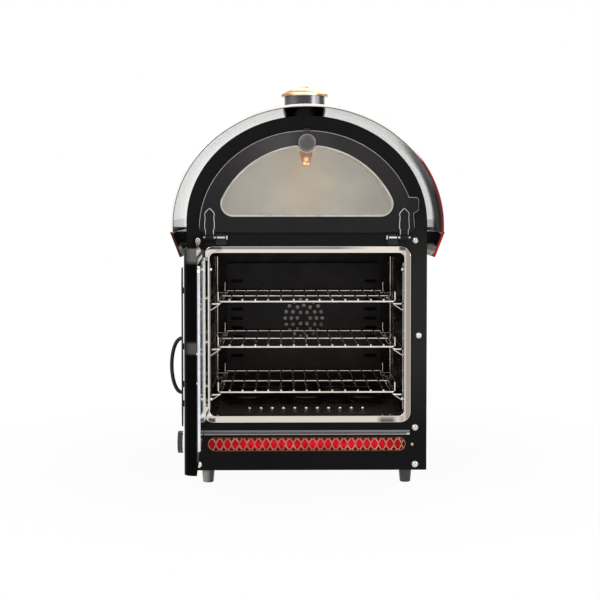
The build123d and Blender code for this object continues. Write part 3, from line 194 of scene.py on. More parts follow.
def build_lights():
    """The studio's three lamps, and the light of the display lamp."""
    for name, place, size, power in STUDIO_LAMPS:
        lamp = bpy.data.lights.new(name, "AREA")
        lamp.shape = "DISK"
        lamp.size = size
        lamp.energy = power
        holder = add_object(name, lamp)
        holder.location = place
        aim = Vector(LAMP_AIM) - Vector(place)
        holder.rotation_euler = aim.to_track_quat("-Z", "Y").to_euler()
    warm = bpy.data.lights.new("display_lamp", "POINT")
    warm.color = DISPLAY_COLOUR
    warm.energy = DISPLAY_POWER
    warm.shadow_soft_size = DISPLAY_SIZE
    glow_spot = add_object("display_lamp", warm)
    glow_spot.location = middle_of("halogen_lamp") - Vector((0, 0, DISPLAY_DROP))
    glow_spot.visible_camera = False
    glow_spot.visible_glossy = False
    glow_spot.visible_transmission = False


# ---- Materials, with places in metres ----

# How the noise is stretched
EVEN = (1, 1, 1)
ALONG_X = (0.35, 9.0, 9.0)
ALONG_Y = (9.0, 0.35, 9.0)
ALONG_Z = (9.0, 9.0, 0.35)
ROUND_Z = (0.02, 0.02, 9.0)

# How far the noise is moved for each use, so that the uses don't follow each other
RELIEF_SHIFT = 1.7
GLOSS_SHIFT = 3.1
MARK_SHIFT = 7.3

# The noise values between which one look gives way to the other
PATCH_EDGE = (0.35, 0.65)
GLOSS_EDGE = (0.3, 0.7)
SMEAR_EDGE = (0.4, 0.75)
MARK_EDGE = 0.04

PATCH_DETAIL = 4.0
MARK_DETAIL = 2.0
GRAIN_SCALE = 60.0
SMEAR_SCALE = 14.0
SMEAR_ROUGH = 0.05
GLASS_BEND = 1.45
GLASS_SHADOW = (0.95, 0.95, 0.95, 1)

# The finishes by name, put in by surface() and glass()
finishes = {}


def noise(tree, scale, detail=3.0, stretch=EVEN, shift=0.0):
    """A noise value laid over the object, in its own place and size."""
    place = node(tree, "TexCoord").outputs["Object"]
    mapped = node(tree, "Mapping", Vector=place, Scale=stretch, Location=(shift, shift, shift))
    return node(
        tree, "TexNoise", Vector=mapped.outputs[0], Scale=scale, Detail=detail
    ).outputs["Fac"]


def blend(tree, share, first, second):
    """Two colours, or colour sockets, mixed by a value."""
    made = tree.nodes.new("ShaderNodeMix")
    made.data_type = "RGBA"
    sockets = (made.inputs[0], made.inputs[6], made.inputs[7])
    for socket, value in zip(sockets, (share, first, second)):
        if isinstance(value, bpy.types.NodeSocket):
            tree.links.new(value, socket)
        else:
            socket.default_value = (*value, 1.0) if isinstance(value, tuple) else value
    return made.outputs[2]


def above(what, low, high, most=1.0):
    """A ramp for a finish: nothing up to low, and the most from high on."""
    return (what, low, high, 0.0, most)


def below(what, low, high, most=1.0):
    """A ramp for a finish: the most up to low, and nothing from high on."""
    return (what, low, high, most, 0.0)


def measure(tree, what):
    """A place or direction on the object as a value.

    "x", "y", "z" are the place, "nx", "ny", "nz" the way the surface faces, "|" before one of
    them drops its sign, "grain" is fine lines along y, and (x, z) is the distance from that line
    along the y axis."""
    if what == "grain":
        return noise(tree, GRAIN_SCALE, stretch=ALONG_Y)
    coordinates = node(tree, "TexCoord")
    if isinstance(what, tuple):
        flat = node(tree, "VectorMath", {"operation": "MULTIPLY"})
        tree.links.new(coordinates.outputs["Object"], flat.inputs[0])
        flat.inputs[1].default_value = (1, 0, 1)
        away = node(tree, "VectorMath", {"operation": "DISTANCE"})
        tree.links.new(flat.outputs[0], away.inputs[0])
        away.inputs[1].default_value = (what[0], 0, what[1])
        return away.outputs["Value"]
    source = coordinates.outputs["Normal" if "n" in what else "Object"]
    value = node(tree, "SeparateXYZ", Vector=source).outputs[what[-1].upper()]
    if what.startswith("|"):
        plain = node(tree, "Math", {"operation": "ABSOLUTE"})
        tree.links.new(value, plain.inputs[0])
        value = plain.outputs[0]
    return value


def product(tree, ramps):
    """The ramps (what, low, high, start, end) multiplied."""
    share = None
    for what, low, high, start, end in ramps:
        step = ramp(tree, measure(tree, what), low, high, start, end)
        share = combine(tree, "MULTIPLY", share, step) if share else step
    return share


def surface(
    name,
    main,
    second,
    patch=30.0,
    rough=(0.3, 0.45),
    rough_scale=60.0,
    metallic=0.0,
    specular=0.5,
    stretch=EVEN,
    bumps=(),
    marks=None,
    grades=(),
    patches=(),
    glow=None,
    coat=0.0,
):
    """A finish with patches of a second colour, uneven gloss, fine relief and small marks.

    bumps holds (scale, depth in metres, stretch), and marks (scale, share, colour). grades holds
    (colour, ramp, ramp, ...): that colour takes over by the product of its ramps. patches holds
    (roughness, metallic, ramp, ramp, ...) in the same way. glow is (colour, strength), or a
    strength alone to glow in its own colours."""
    made = bpy.data.materials.new(name)
    tree = clean_tree(made)
    shade = ramp(tree, noise(tree, patch, PATCH_DETAIL, stretch), *PATCH_EDGE, 0.0, 1.0)
    colour = blend(tree, shade, main, second)
    if marks:
        scale, share, tint = marks
        speckle = noise(tree, scale, MARK_DETAIL, shift=MARK_SHIFT)
        spots = ramp(tree, speckle, 1 - share, 1 - share + MARK_EDGE, 0, 1)
        colour = blend(tree, spots, colour, tint)
    for tint, *ramps in grades:
        colour = blend(tree, product(tree, ramps), colour, tint)
    sheen = noise(tree, rough_scale, PATCH_DETAIL, stretch, GLOSS_SHIFT)
    gloss = ramp(tree, sheen, *GLOSS_EDGE, *rough)
    metal = metallic
    for dull, bare, *ramps in patches:
        share = product(tree, ramps)
        gloss = ramp(tree, share, 0.0, 1.0, gloss, dull)
        metal = ramp(tree, share, 0.0, 1.0, metal, bare)
    skin = node(tree, "BsdfPrincipled", Base_Color=colour, Roughness=gloss, Metallic=metal)
    skin.inputs["Specular IOR Level"].default_value = specular
    skin.inputs["Coat Weight"].default_value = coat
    normal = None
    for scale, depth, along in bumps:
        height = noise(tree, scale, stretch=along, shift=RELIEF_SHIFT)
        relief = node(tree, "Bump", Strength=1.0, Distance=depth, Height=height)
        if normal:
            tree.links.new(normal, relief.inputs["Normal"])
        normal = relief.outputs[0]
    if normal:
        tree.links.new(normal, skin.inputs["Normal"])
    if isinstance(glow, tuple):
        skin.inputs["Emission Color"].default_value = (*glow[0], 1.0)
        skin.inputs["Emission Strength"].default_value = glow[1]
    elif glow:
        tree.links.new(colour, skin.inputs["Emission Color"])
        skin.inputs["Emission Strength"].default_value = glow
    tree.links.new(skin.outputs[0], node(tree, "OutputMaterial").inputs["Surface"])
    finishes[name] = made


def glass(name, tint, rough):
    """A finish of clear glass that lets the lamps through."""
    made = bpy.data.materials.new(name)
    tree = clean_tree(made)
    smear = ramp(tree, noise(tree, SMEAR_SCALE), *SMEAR_EDGE, rough, rough + SMEAR_ROUGH)
    pane = node(tree, "BsdfPrincipled", Base_Color=(*tint, 1.0), Roughness=smear, IOR=GLASS_BEND)
    pane.inputs["Transmission Weight"].default_value = 1.0
    open_to_lamps = node(tree, "BsdfTransparent", Color=GLASS_SHADOW)
    shadow_ray = node(tree, "LightPath").outputs["Is Shadow Ray"]
    show_mix(tree, shadow_ray, pane, open_to_lamps)
    finishes[name] = made


# What the enamels, the polished steels and the wires have in common
enamel = dict(
    patch=8,
    rough=(0.05, 0.11),
    bumps=((420, 0.00001, EVEN),),
    marks=(900, 0.18, (0.03, 0.03, 0.03)),
)
steel = dict(
    patch=9,
    rough=(0.03, 0.07),
    rough_scale=40,
    metallic=1.0,
    stretch=ALONG_Y,
    bumps=((150, 0.000006, ALONG_Y),),
)
wire = dict(
    patch=35,
    rough=(0.10, 0.22),
    metallic=1.0,
    bumps=((500, 0.00002, EVEN),),
)

# The canopy's front bead, the inner side of the bead on each half, the canopy's outside, and its
# dark inner side at the lower right. The bead's pale line is a painted reflection, its inner
# sides hold painted shade, and the dark lower right inside is a painted dark reflection
on_bead = below("y", -0.3150, -0.3145)
bead_side = above("ny", -0.92, -0.80)
bead_left = (on_bead, bead_side, below("x", -0.01, 0.01), above("nx", 0.02, 0.10))
bead_right = (on_bead, bead_side, above("x", -0.01, 0.01), below("nx", -0.10, -0.02))
outside = (above("y", -0.3150, -0.3145), above("nz", 0.0, 0.04))
dark_reflection_inside = (
    above("x", 0.13, 0.20),
    below("z", 0.54, 0.66),
    below("y", -0.27, -0.16),
    below("nx", -0.1, 0.0),
)

# The inner side of each of the canopy's rails, and the rails below and above their brackets
right_inside = (above("x", -0.2, 0.2), below("nx", -0.7, -0.4))
left_inside = (below("x", -0.2, 0.2), above("nx", 0.4, 0.7))
rail_low = below("z", 0.444, 0.449)
rail_high = above("z", 0.444, 0.449)

# The end of the open door, and the half of the side knob that is next to the cabinet
door_end = below("ny", -0.95, -0.5)
knob_inner_half = above("x", -0.2368, -0.2362)

# The middle lines, along y, of the flap's knob, of the lamp's glow on the liner, and of the lit
# spot in the lamp's shade
knob_middle = (0.0, 0.638)
glow_middle = (0.0, 0.58)
spot_middle = (0.0, 0.610)

# The faces of the bezel that are square to y, and the painted reflections and shade on them:
# lighter and darker stretches
square_to_y = above("|ny", 0.86, 0.97)
bezel_reflections = (
    # The right bar, and the line along its middle
    ((0.34, 0.30, 0.265), above("x", 0.15, 0.18)),
    ((0.59, 0.53, 0.47), above("x", 0.179, 0.181), below("x", 0.1850, 0.1862)),
    # The top bar, its upper edge, that edge's left end, and the dark upper right corner
    ((0.80, 0.73, 0.665), above("z", 0.430, 0.433), below("x", 0.176, 0.182)),
    ((0.25, 0.255, 0.275), above("z", 0.4392, 0.4404), below("x", 0.06, 0.12)),
    ((0.10, 0.098, 0.09), above("z", 0.4392, 0.4404), below("x", -0.164, -0.158)),
    (
        (0.095, 0.08, 0.06),
        above("z", 0.436, 0.439),
        above("x", 0.170, 0.175),
        below("x", 0.183, 0.188),
    ),
    # The bottom bar, the dark patch near its right end, and the dark lower left corner
    ((0.70, 0.63, 0.565), below("z", 0.126, 0.128), below("x", 0.17, 0.18)),
    (
        (0.15, 0.13, 0.11),
        above("x", 0.130, 0.140),
        below("x", 0.160, 0.170),
        below("z", 0.12, 0.13),
    ),
    (
        (0.085, 0.08, 0.07),
        above("x", -0.186, -0.183),
        below("x", -0.173, -0.170),
        below("z", 0.122, 0.125),
    ),
)

surface(
    "black_enamel",
    (0.0035, 0.0035, 0.004),
    (0.006, 0.0055, 0.0055),
    specular=0.08,
    grades=(
        # Painted light: lighter upwards, and a painted reflection along the right edge beside
        # the oven's mouth
        ((0.009, 0.0085, 0.008), above("z", 0.10, 0.47)),
        (
            (0.020, 0.0205, 0.019),
            above("x", 0.17, 0.20),
            above("z", 0.10, 0.22),
            below("z", 0.46, 0.52),
        ),
    ),
    **enamel,
)

surface(
    "roof_enamel",
    (0.004, 0.004, 0.0045),
    (0.007, 0.0065, 0.0065),
    specular=0.4,
    coat=0.8,
    **enamel,
)

surface(
    "side_enamel",
    (0.004, 0.004, 0.0045),
    (0.007, 0.0065, 0.0065),
    specular=0.14,
    **enamel,
)

surface(
    "door_enamel",
    (0.0022, 0.0020, 0.0020),
    (0.0035, 0.0030, 0.0028),
    specular=0.02,
    grades=(
        # Painted reflections: the light bands on the door's end, at its top and at half its
        # height
        ((0.17, 0.155, 0.135), above("z", 0.430, 0.437), door_end),
        (
            (0.11, 0.098, 0.09),
            above("z", 0.289, 0.293),
            below("z", 0.306, 0.311),
            door_end,
        ),
    ),
    **enamel,
)

surface(
    "flap_paint",
    (0.011, 0.0105, 0.0105),
    (0.016, 0.0150, 0.0152),
    patch=12,
    rough=(0.28, 0.40),
    specular=0.16,
    bumps=((900, 0.00003, EVEN),),
    grades=(
        # Painted light: lighter upwards, a painted highlight at the top left of the knob, and
        # painted highlights on the edges, kept off the bottom edge
        ((0.034, 0.030, 0.032), above("z", 0.50, 0.61)),
        (
            (0.085, 0.078, 0.081),
            above("x", -0.16, -0.07),
            below("x", -0.04, 0.06),
            above("z", 0.57, 0.64),
        ),
        (
            (0.80, 0.78, 0.77),
            above("|ny", 0.15, 0.35),
            below("|ny", 0.88, 0.98),
            above("z", 0.476, 0.486),
        ),
    ),
)

surface(
    "strap_paint",
    (0.010, 0.010, 0.010),
    (0.016, 0.015, 0.015),
    patch=40,
    rough=(0.25, 0.40),
    specular=0.16,
    bumps=((900, 0.00004, EVEN),),
    grades=(
        # Painted highlights on the chamfer and the sides of the plates
        (
            (0.80, 0.77, 0.74),
            above("|ny", 0.3, 0.5),
            below("|ny", 0.90, 0.96),
            above("z", 0.470, 0.471),
        ),
        ((0.80, 0.77, 0.74), above("|nx", 0.4, 0.6)),
    ),
)

surface(
    "red_enamel",
    (0.50, 0.012, 0.014),
    (0.40, 0.009, 0.010),
    patch=10,
    rough=(0.14, 0.24),
    specular=0.12,
    bumps=((420, 0.00002, EVEN),),
    patches=(
        (0.07, 1.0, *right_inside, rail_low),
        (0.55, 0.0, *left_inside, rail_low),
    ),
    grades=(
        # Painted light and shade: the inner sides pale below the brackets and dark above, and
        # painted shade on the left rail's dark front
        ((0.96, 0.92, 0.90), *right_inside, rail_low),
        ((0.96, 0.92, 0.90), *left_inside, rail_low),
        ((0.008, 0.004, 0.004), *right_inside, rail_high),
        ((0.008, 0.004, 0.004), *left_inside, rail_high),
        ((0.07, 0.008, 0.006), below("x", -0.1, 0.1), below("ny", -0.9, -0.5)),
    ),
)

surface(
    "canopy_steel",
    (0.99, 0.98, 0.97),
    (0.97, 0.96, 0.95),
    patch=9,
    rough=(0.09, 0.11),
    rough_scale=40,
    metallic=1.0,
    stretch=ALONG_Y,
    patches=(
        (0.8, 0.0, *dark_reflection_inside),
        (0.6, 0.0, *bead_left),
        (0.6, 0.0, *bead_right),
        (0.24, 1.0, *outside),
    ),
    grades=(
        # Painted dark reflection inside, the bead's painted pale line, painted shade on its
        # inner sides, and the outside's darker steel
        ((0.020, 0.022, 0.019), *dark_reflection_inside),
        ((0.94, 0.90, 0.84), on_bead),
        ((0.060, 0.038, 0.024), *bead_left),
        ((0.060, 0.038, 0.024), *bead_right),
        ((0.44, 0.435, 0.43), *outside),
        ((0.33, 0.325, 0.32), above("grain", 0.35, 0.65), *outside),
        # A painted reflection of the rail's red in the bead at the lower right
        (
            (0.16, 0.016, 0.012),
            above("x", 0.15, 0.21),
            below("z", 0.60, 0.64),
            on_bead,
        ),
    ),
)

surface(
    "bezel_steel",
    (0.84, 0.80, 0.75),
    (0.78, 0.745, 0.69),
    grades=tuple((*stretch, square_to_y) for stretch in bezel_reflections),
    **steel,
)

surface(
    "lining_steel",
    (0.80, 0.85, 0.93),
    (0.66, 0.70, 0.76),
    **steel,
)

surface(
    "collar_steel",
    (0.085, 0.075, 0.083),
    (0.055, 0.050, 0.052),
    patch=260,
    rough=(0.2, 0.34),
    metallic=1.0,
    stretch=ROUND_Z,
    bumps=((340, 0.00003, ROUND_Z),),
    grades=(
        # Painted reflections and shade: two light bands down the left and the right, and a dark
        # right side
        ((0.17, 0.15, 0.165), above("x", -0.036, -0.028), below("x", -0.022, -0.012)),
        ((0.46, 0.45, 0.50), above("x", 0.012, 0.019), below("x", 0.026, 0.032)),
        ((0.022, 0.028, 0.032), above("x", 0.032, 0.038)),
    ),
)

surface(
    "brushed_steel",
    (0.60, 0.59, 0.57),
    (0.50, 0.48, 0.46),
    patch=60,
    rough=(0.24, 0.4),
    metallic=1.0,
    stretch=ALONG_X,
    bumps=((300, 0.00003, ALONG_X),),
)

surface(
    "foot_paint",
    (0.050, 0.045, 0.042),
    (0.030, 0.027, 0.025),
    patch=90,
    rough=(0.35, 0.5),
    bumps=((500, 0.00006, EVEN),),
    grades=(
        # Painted light and shade: the left foot lighter on its left-facing sides, and the sides
        # that face right darker
        ((0.40, 0.36, 0.33), below("x", -0.05, 0.05), below("nx", -0.5, 0.5)),
        ((0.022, 0.020, 0.018), above("nx", 0.2, 0.7)),
    ),
)

surface(
    "pale_steel",
    (0.90, 0.895, 0.88),
    (0.82, 0.81, 0.79),
    patch=18,
    rough=(0.28, 0.42),
    metallic=0.25,
    bumps=((200, 0.00004, ALONG_Y),),
    grades=(((0.98, 0.78, 0.52), below(glow_middle, 0.02, 0.10, 0.40)),),
)

surface(
    "oven_steel",
    (0.020, 0.0115, 0.0085),
    (0.008, 0.0045, 0.0035),
    patch=7,
    rough=(0.2, 0.38),
    rough_scale=25,
    specular=0.16,
    bumps=((160, 0.00005, ALONG_Y),),
    marks=(160, 0.3, (0.06, 0.03, 0.015)),
    # Painted light: lighter towards the oven's mouth
    grades=(((0.16, 0.13, 0.11), below("y", -0.262, -0.20)),),
)

surface(
    "floor_steel",
    (0.060, 0.042, 0.034),
    (0.032, 0.021, 0.016),
    patch=14,
    rough=(0.3, 0.45),
    specular=0.2,
    bumps=((160, 0.00006, ALONG_X),),
    marks=(160, 0.3, (0.10, 0.06, 0.035)),
)

surface("rack_wire", (0.92, 0.87, 0.83), (0.72, 0.63, 0.56), **wire)

surface("bright_screw", (0.80, 0.79, 0.76), (0.62, 0.60, 0.56), **wire)

surface(
    "brass",
    (0.66, 0.34, 0.095),
    (0.50, 0.235, 0.06),
    patch=45,
    rough=(0.10, 0.24),
    metallic=1.0,
    bumps=((300, 0.00002, ALONG_X),),
    grades=(
        # Painted highlights on the brim and on the crown, and painted shade at the brown ends of
        # the brim
        (
            (0.93, 0.82, 0.64),
            above("x", -0.030, -0.020),
            below("x", 0.018, 0.028),
            below("z", 0.750, 0.754),
        ),
        (
            (0.95, 0.86, 0.70),
            above("x", -0.017, -0.010),
            below("x", 0.000, 0.008),
            above("z", 0.757, 0.760),
        ),
        ((0.16, 0.075, 0.038), above("|x", 0.040, 0.048)),
    ),
)

surface(
    "black_iron",
    (0.010, 0.010, 0.010),
    (0.018, 0.017, 0.016),
    patch=60,
    rough=(0.25, 0.4),
    specular=0.3,
    bumps=((700, 0.00006, EVEN),),
)

# Near black and dull, for the brackets under the canopy and at the door's hinges
surface(
    "matte_black",
    (0.0035, 0.003, 0.003),
    (0.007, 0.006, 0.0055),
    patch=60,
    rough=(0.45, 0.6),
    specular=0.08,
    bumps=((700, 0.00006, EVEN),),
)

surface(
    "knob_paint",
    (0.105, 0.10, 0.10),
    (0.075, 0.072, 0.07),
    patch=60,
    rough=(0.35, 0.5),
    bumps=((700, 0.00005, EVEN),),
    # A painted highlight round the rim of the flap's knob
    grades=(((0.24, 0.23, 0.225), above(knob_middle, 0.0125, 0.0145)),),
)

surface("bead_trim", (0.66, 0.63, 0.58), (0.45, 0.42, 0.38), **wire)

surface(
    "grey_trim",
    (0.105, 0.10, 0.108),
    (0.14, 0.13, 0.14),
    patch=40,
    rough=(0.3, 0.45),
    specular=0.3,
    bumps=((600, 0.00003, ALONG_X),),
    grades=(
        # Painted reflections on the upper edge and the lower edge, and a painted highlight on
        # the right end
        ((0.30, 0.29, 0.30), above("z", 0.0965, 0.098)),
        ((0.52, 0.50, 0.49), below("z", 0.0925, 0.0935)),
        ((0.85, 0.83, 0.80), above("x", 0.1865, 0.1885), below("z", 0.0940, 0.0955)),
    ),
)

surface(
    "mesh_copper",
    (0.66, 0.30, 0.20),
    (0.48, 0.17, 0.11),
    patch=70,
    rough=(0.3, 0.45),
    metallic=0.6,
    bumps=((600, 0.00005, EVEN),),
    marks=(60, 0.42, (0.66, 0.38, 0.24)),
    grades=(
        # Painted shade: darker along the top and the bottom, where the border is
        ((0.16, 0.030, 0.020), above("z", 0.0838, 0.0845), below("x", 0.170, 0.176)),
        ((0.30, 0.10, 0.065), below("z", 0.0610, 0.0618)),
    ),
)

surface(
    "red_diffuser",
    (0.34, 0.001, 0.006),
    (0.72, 0.006, 0.022),
    patch=44,
    rough=(0.25, 0.4),
    specular=0.1,
    # The diffuser glows in its own colours, painted light for the lamp behind shining through it
    glow=0.62,
    bumps=((90, 0.0002, EVEN),),
    grades=(
        # Painted shade in that glow: dimmer towards both ends, dark at the right end, and dark
        # along the top and the bottom
        ((0.20, 0.001, 0.004), below("x", -0.182, -0.12, 0.85)),
        ((0.25, 0.001, 0.004), above("x", 0.12, 0.165, 0.6)),
        ((0.012, 0.003, 0.003), above("x", 0.176, 0.180)),
        ((0.07, 0.002, 0.001), above("z", 0.0770, 0.0825, 0.95)),
        ((0.07, 0.002, 0.001), below("z", 0.0625, 0.0680, 0.95)),
    ),
)

surface(
    "amber_lens",
    (0.92, 0.84, 0.72),
    (0.75, 0.40, 0.14),
    patch=300,
    rough=(0.1, 0.2),
    glow=((1.0, 0.45, 0.10), 0.04),
    coat=0.5,
    bumps=((800, 0.00005, EVEN),),
)

surface(
    "lamp_white",
    (0.85, 0.80, 0.72),
    (0.80, 0.74, 0.66),
    patch=60,
    rough=(0.3, 0.45),
    glow=((1.0, 0.3, 0.2), 0.3),
)

surface(
    "lamp_shade",
    (0.40, 0.135, 0.022),
    (0.27, 0.080, 0.012),
    patch=120,
    rough=(0.15, 0.3),
    glow=0.28,
    coat=0.3,
    bumps=((400, 0.0001, ALONG_Z),),
    grades=(((1.0, 0.86, 0.60), below(spot_middle, 0.0015, 0.0065)),),
)

surface(
    "ceramic",
    (0.30, 0.13, 0.055),
    (0.20, 0.085, 0.035),
    patch=90,
    rough=(0.4, 0.6),
    bumps=((600, 0.0001, EVEN),),
)

surface(
    "lagging",
    (0.75, 0.70, 0.55),
    (0.62, 0.56, 0.42),
    patch=60,
    rough=(0.85, 0.95),
    bumps=((350, 0.0008, EVEN),),
)

surface(
    "seal_rubber",
    (0.03, 0.03, 0.03),
    (0.05, 0.05, 0.05),
    patch=120,
    rough=(0.55, 0.7),
    bumps=((700, 0.00006, EVEN),),
)

surface(
    "black_plastic",
    (0.03, 0.03, 0.032),
    (0.045, 0.045, 0.046),
    patch=80,
    rough=(0.4, 0.55),
    bumps=((1400, 0.00006, EVEN),),
)

surface(
    "control_plastic",
    (0.060, 0.058, 0.052),
    (0.085, 0.082, 0.075),
    patch=80,
    rough=(0.4, 0.55),
    bumps=((1400, 0.00004, EVEN),),
    # The half next to the cabinet is mirror-bright metal, so that from the front its reflection
    # of the white surroundings looks like the light gap beside the knob
    grades=(((0.93, 0.92, 0.90), knob_inner_half),),
    patches=((0.12, 1.0, knob_inner_half),),
)

surface(
    "motor_paint",
    (0.12, 0.12, 0.13),
    (0.17, 0.17, 0.17),
    patch=60,
    rough=(0.35, 0.5),
    bumps=((500, 0.0001, EVEN),),
)

glass("clear_glass", (0.97, 0.99, 0.98), 0.01)

# Nodes whose finish differs from the plain one of their material slot
own_finish = {
    "roof_shell": "roof_enamel",
    "side_panel_left": "side_enamel",
    "side_panel_right": "side_enamel",
    "back_panel": "side_enamel",
    "door_outer": "door_enamel",
    "canopy_brackets": "matte_black",
    "hinge_brackets": "matte_black",
    "canopy_shell": "canopy_steel",
    "oven_bezel": "bezel_steel",
    "door_inner": "lining_steel",
    "chimney_collar": "collar_steel",
    "feet": "foot_paint",
    "floor_plate": "floor_steel",
    "flap_knob": "knob_paint",
    "flap_bead": "bead_trim",
    "flap_catch": "black_iron",
    "flap_brackets": "black_iron",
    "thermostat_knob": "control_plastic",
}


def dress_frame():
    """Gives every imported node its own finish, or the one of its material slot."""
    for part in frame["record"]["subparts"]:
        name = part["node"]
        skin = cad[name].data.materials
        skin.clear()
        skin.append(finishes[own_finish.get(name, part["material_slot"])])


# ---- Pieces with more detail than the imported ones, in metres ----

BACKWARD = Vector((0, 1, 0))
FRAME_LOW, FRAME_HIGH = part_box("front_frame")
CABINET_FRONT = FRAME_LOW[1]

# The slot at the bottom of the front, and the expanded metal in it, whose packed sheet laps
# behind the slot's edge all round
MESH_LAP = 0.006
MESH_LOW, MESH_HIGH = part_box("ember_mesh")
MESH_Y = (MESH_LOW[1] + MESH_HIGH[1]) / 2
SLOT_Z = (MESH_LOW[2] + MESH_HIGH[2]) / 2
SLOT_HALF = MESH_HIGH[0] - MESH_LAP
SLOT_ROUND = MESH_HIGH[2] - SLOT_Z - MESH_LAP
MESH_LEFT = -0.1856
MESH_PITCH = 0.01456
MESH_CELLS = 26
MESH_TALL = 0.0098
# A strand's points for each cell, how full the cells are, and how far past the slot it may run
CELL_STEPS = 12
CELL_FULLNESS = 0.72
STRAND_OVERRUN = 0.0006
STRAND_RADIUS = 0.0012
STRAND_FLATNESS = 0.42
BORDER_INSET = 0.0013
BORDER_RADIUS = 0.0007
BORDER_FLATNESS = 0.5
BORDER_STEPS = 16
TUBE_SIDES = 6

# The display lamp's shade: each radius, and how far down it is from the shade's top
SHADE_OUTLINE = (
    (0.0131, 0.0),
    (0.0131, 0.0016),
    (0.0122, 0.0024),
    (0.0114, 0.0070),
    (0.0102, 0.0120),
    (0.0092, 0.0165),
    (0.0086, 0.0195),
    (0.0076, 0.0222),
    (0.0058, 0.0238),
    (0.0030, 0.0244),
)
SHADE_SPANS = 40

# The front's screws and its plain stud, and how far from there to look for their packed points
SCREW_FROM_SIDE = 0.0215
SCREW_X = FRAME_HIGH[0] - SCREW_FROM_SIDE
SCREW_LEVELS = (0.0347, 0.104, 0.4566)
STUD_FROM_SIDE = 0.015
STUD_X = FRAME_HIGH[0] - STUD_FROM_SIDE
STUD_Z = 0.2775
SCREW_SEARCH = 0.009
SCREW_SPANS = 32
SCREW_RINGS = 9
# The larger, the flatter the top of a head
SCREW_FLATNESS = 2.6
# The cross in a head, as shares of the head's radius and of its height
CROSS_REACH = 0.66
CROSS_HALF_WIDTH = 0.16
CROSS_DEPTH = 0.7
CROSS_MIDDLE = 0.38

# The flap's straps: what counts as one point, as one flat face and as a front face, and the
# chamfer round that
STRAP_WELD = 0.000002
STRAP_FLAT_DEGREES = 1
STRAP_FRONT_NORMAL = -0.99
STRAP_FRONT_AREA = 0.0002
STRAP_CHAMFER_WIDTH = 0.0013
STRAP_CHAMFER_DEPTH = 0.0008

# The row of holes in the oven's floor plate, and the rims rolled round them
HOLE_COUNT = 11
HOLE_PITCH = 0.022
HOLE_FROM_EDGE = 0.071
RIM_RADIUS = 0.0036
RIM_HALF_WIDTH = 0.0009
RIM_HALF_HEIGHT = 0.0024
RIM_LIFT = 0.0016
RIM_SPANS = 20
RIM_SIDES = 8


def add_piece(name, mesh, finish, body, smooth=True):
    """An object of this bmesh with its finish, which rides on the body."""
    data = bpy.data.meshes.new(name)
    mesh.to_mesh(data)
    mesh.free()
    for face in data.polygons:
        face.use_smooth = smooth
    data.materials.append(finishes[finish])
    piece = add_object(name, data)
    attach(piece, body)
    return piece


def turns(count):
    """The angles of this many points spread evenly round a circle."""
    return [2 * math.pi * step / count for step in range(count)]


def join_rings(mesh, first, second):
    """A band of faces between two closed rings that have as many points."""
    for step in range(len(first)):
        following = (step + 1) % len(first)
        mesh.faces.new((first[step], first[following], second[following], second[step]))


def add_tube(mesh, points, radius, flatness):
    """A closed tube along points in the plane of x and z, its section squashed along y."""
    rings = []
    for number, point in enumerate(points):
        before = points[max(number - 1, 0)]
        after = points[min(number + 1, len(points) - 1)]
        side = (after - before).normalized().cross(BACKWARD).normalized()
        ring = []
        for turn in turns(TUBE_SIDES):
            out = side * math.cos(turn) + BACKWARD * math.sin(turn) * flatness
            ring.append(mesh.verts.new(point + out * radius))
        rings.append(ring)
    for low, high in zip(rings, rings[1:]):
        join_rings(mesh, low, high)
    mesh.faces.new(reversed(rings[0]))
    mesh.faces.new(rings[-1])


def cell_side(share):
    """How far a strand stands off the middle of the slot, for its share of one cell's width."""
    return math.sin(math.pi * share) ** CELL_FULLNESS


def slot_reach(x):
    """Half the slot's height at this x, inside its round ends."""
    past = abs(x) - (SLOT_HALF - SLOT_ROUND)
    if past <= 0:
        return SLOT_ROUND
    return math.sqrt(max(SLOT_ROUND**2 - past**2, 0.0))


def add_strand(mesh, side, row):
    """One strand of the expanded metal, above or below the middle line, in the stretches of it
    that lie inside the slot. Row 0 touches the middle line, and row 1 touches row 0."""
    run = []
    last = MESH_CELLS * CELL_STEPS
    for number in range(last + 1):
        x = MESH_LEFT + number * MESH_PITCH / CELL_STEPS
        rise = MESH_TALL * cell_side((number % CELL_STEPS) / CELL_STEPS)
        if row:
            rise = 2 * MESH_TALL - rise
        inside = rise <= slot_reach(x) + STRAND_OVERRUN
        if inside:
            run.append(Vector((x, MESH_Y, SLOT_Z + side * rise)))
        if run and (not inside or number == last):
            if len(run) > 2:
                add_tube(mesh, run, STRAND_RADIUS, STRAND_FLATNESS)
            run = []


def add_border(mesh):
    """The mesh's border, folded round just inside the edge of the slot."""
    run = []
    reach = SLOT_HALF - SLOT_ROUND
    inner = SLOT_ROUND - BORDER_INSET
    for end in (1, -1):
        for step in range(BORDER_STEPS + 1):
            turn = math.pi * (step / BORDER_STEPS - 0.5)
            x = end * (reach + inner * math.cos(turn))
            run.append(Vector((x, MESH_Y, SLOT_Z + end * inner * math.sin(turn))))
    run.append(run[0].copy())
    add_tube(mesh, run, BORDER_RADIUS, BORDER_FLATNESS)


def build_mesh():
    """The expanded metal in the slot: strands that meet on its middle line, and a border."""
    mesh = bmesh.new()
    for side in (1, -1):
        for row in (0, 1):
            add_strand(mesh, side, row)
    add_border(mesh)
    piece = add_piece("ember_strands", mesh, "mesh_copper", "cabinet")
    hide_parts("ember_mesh")


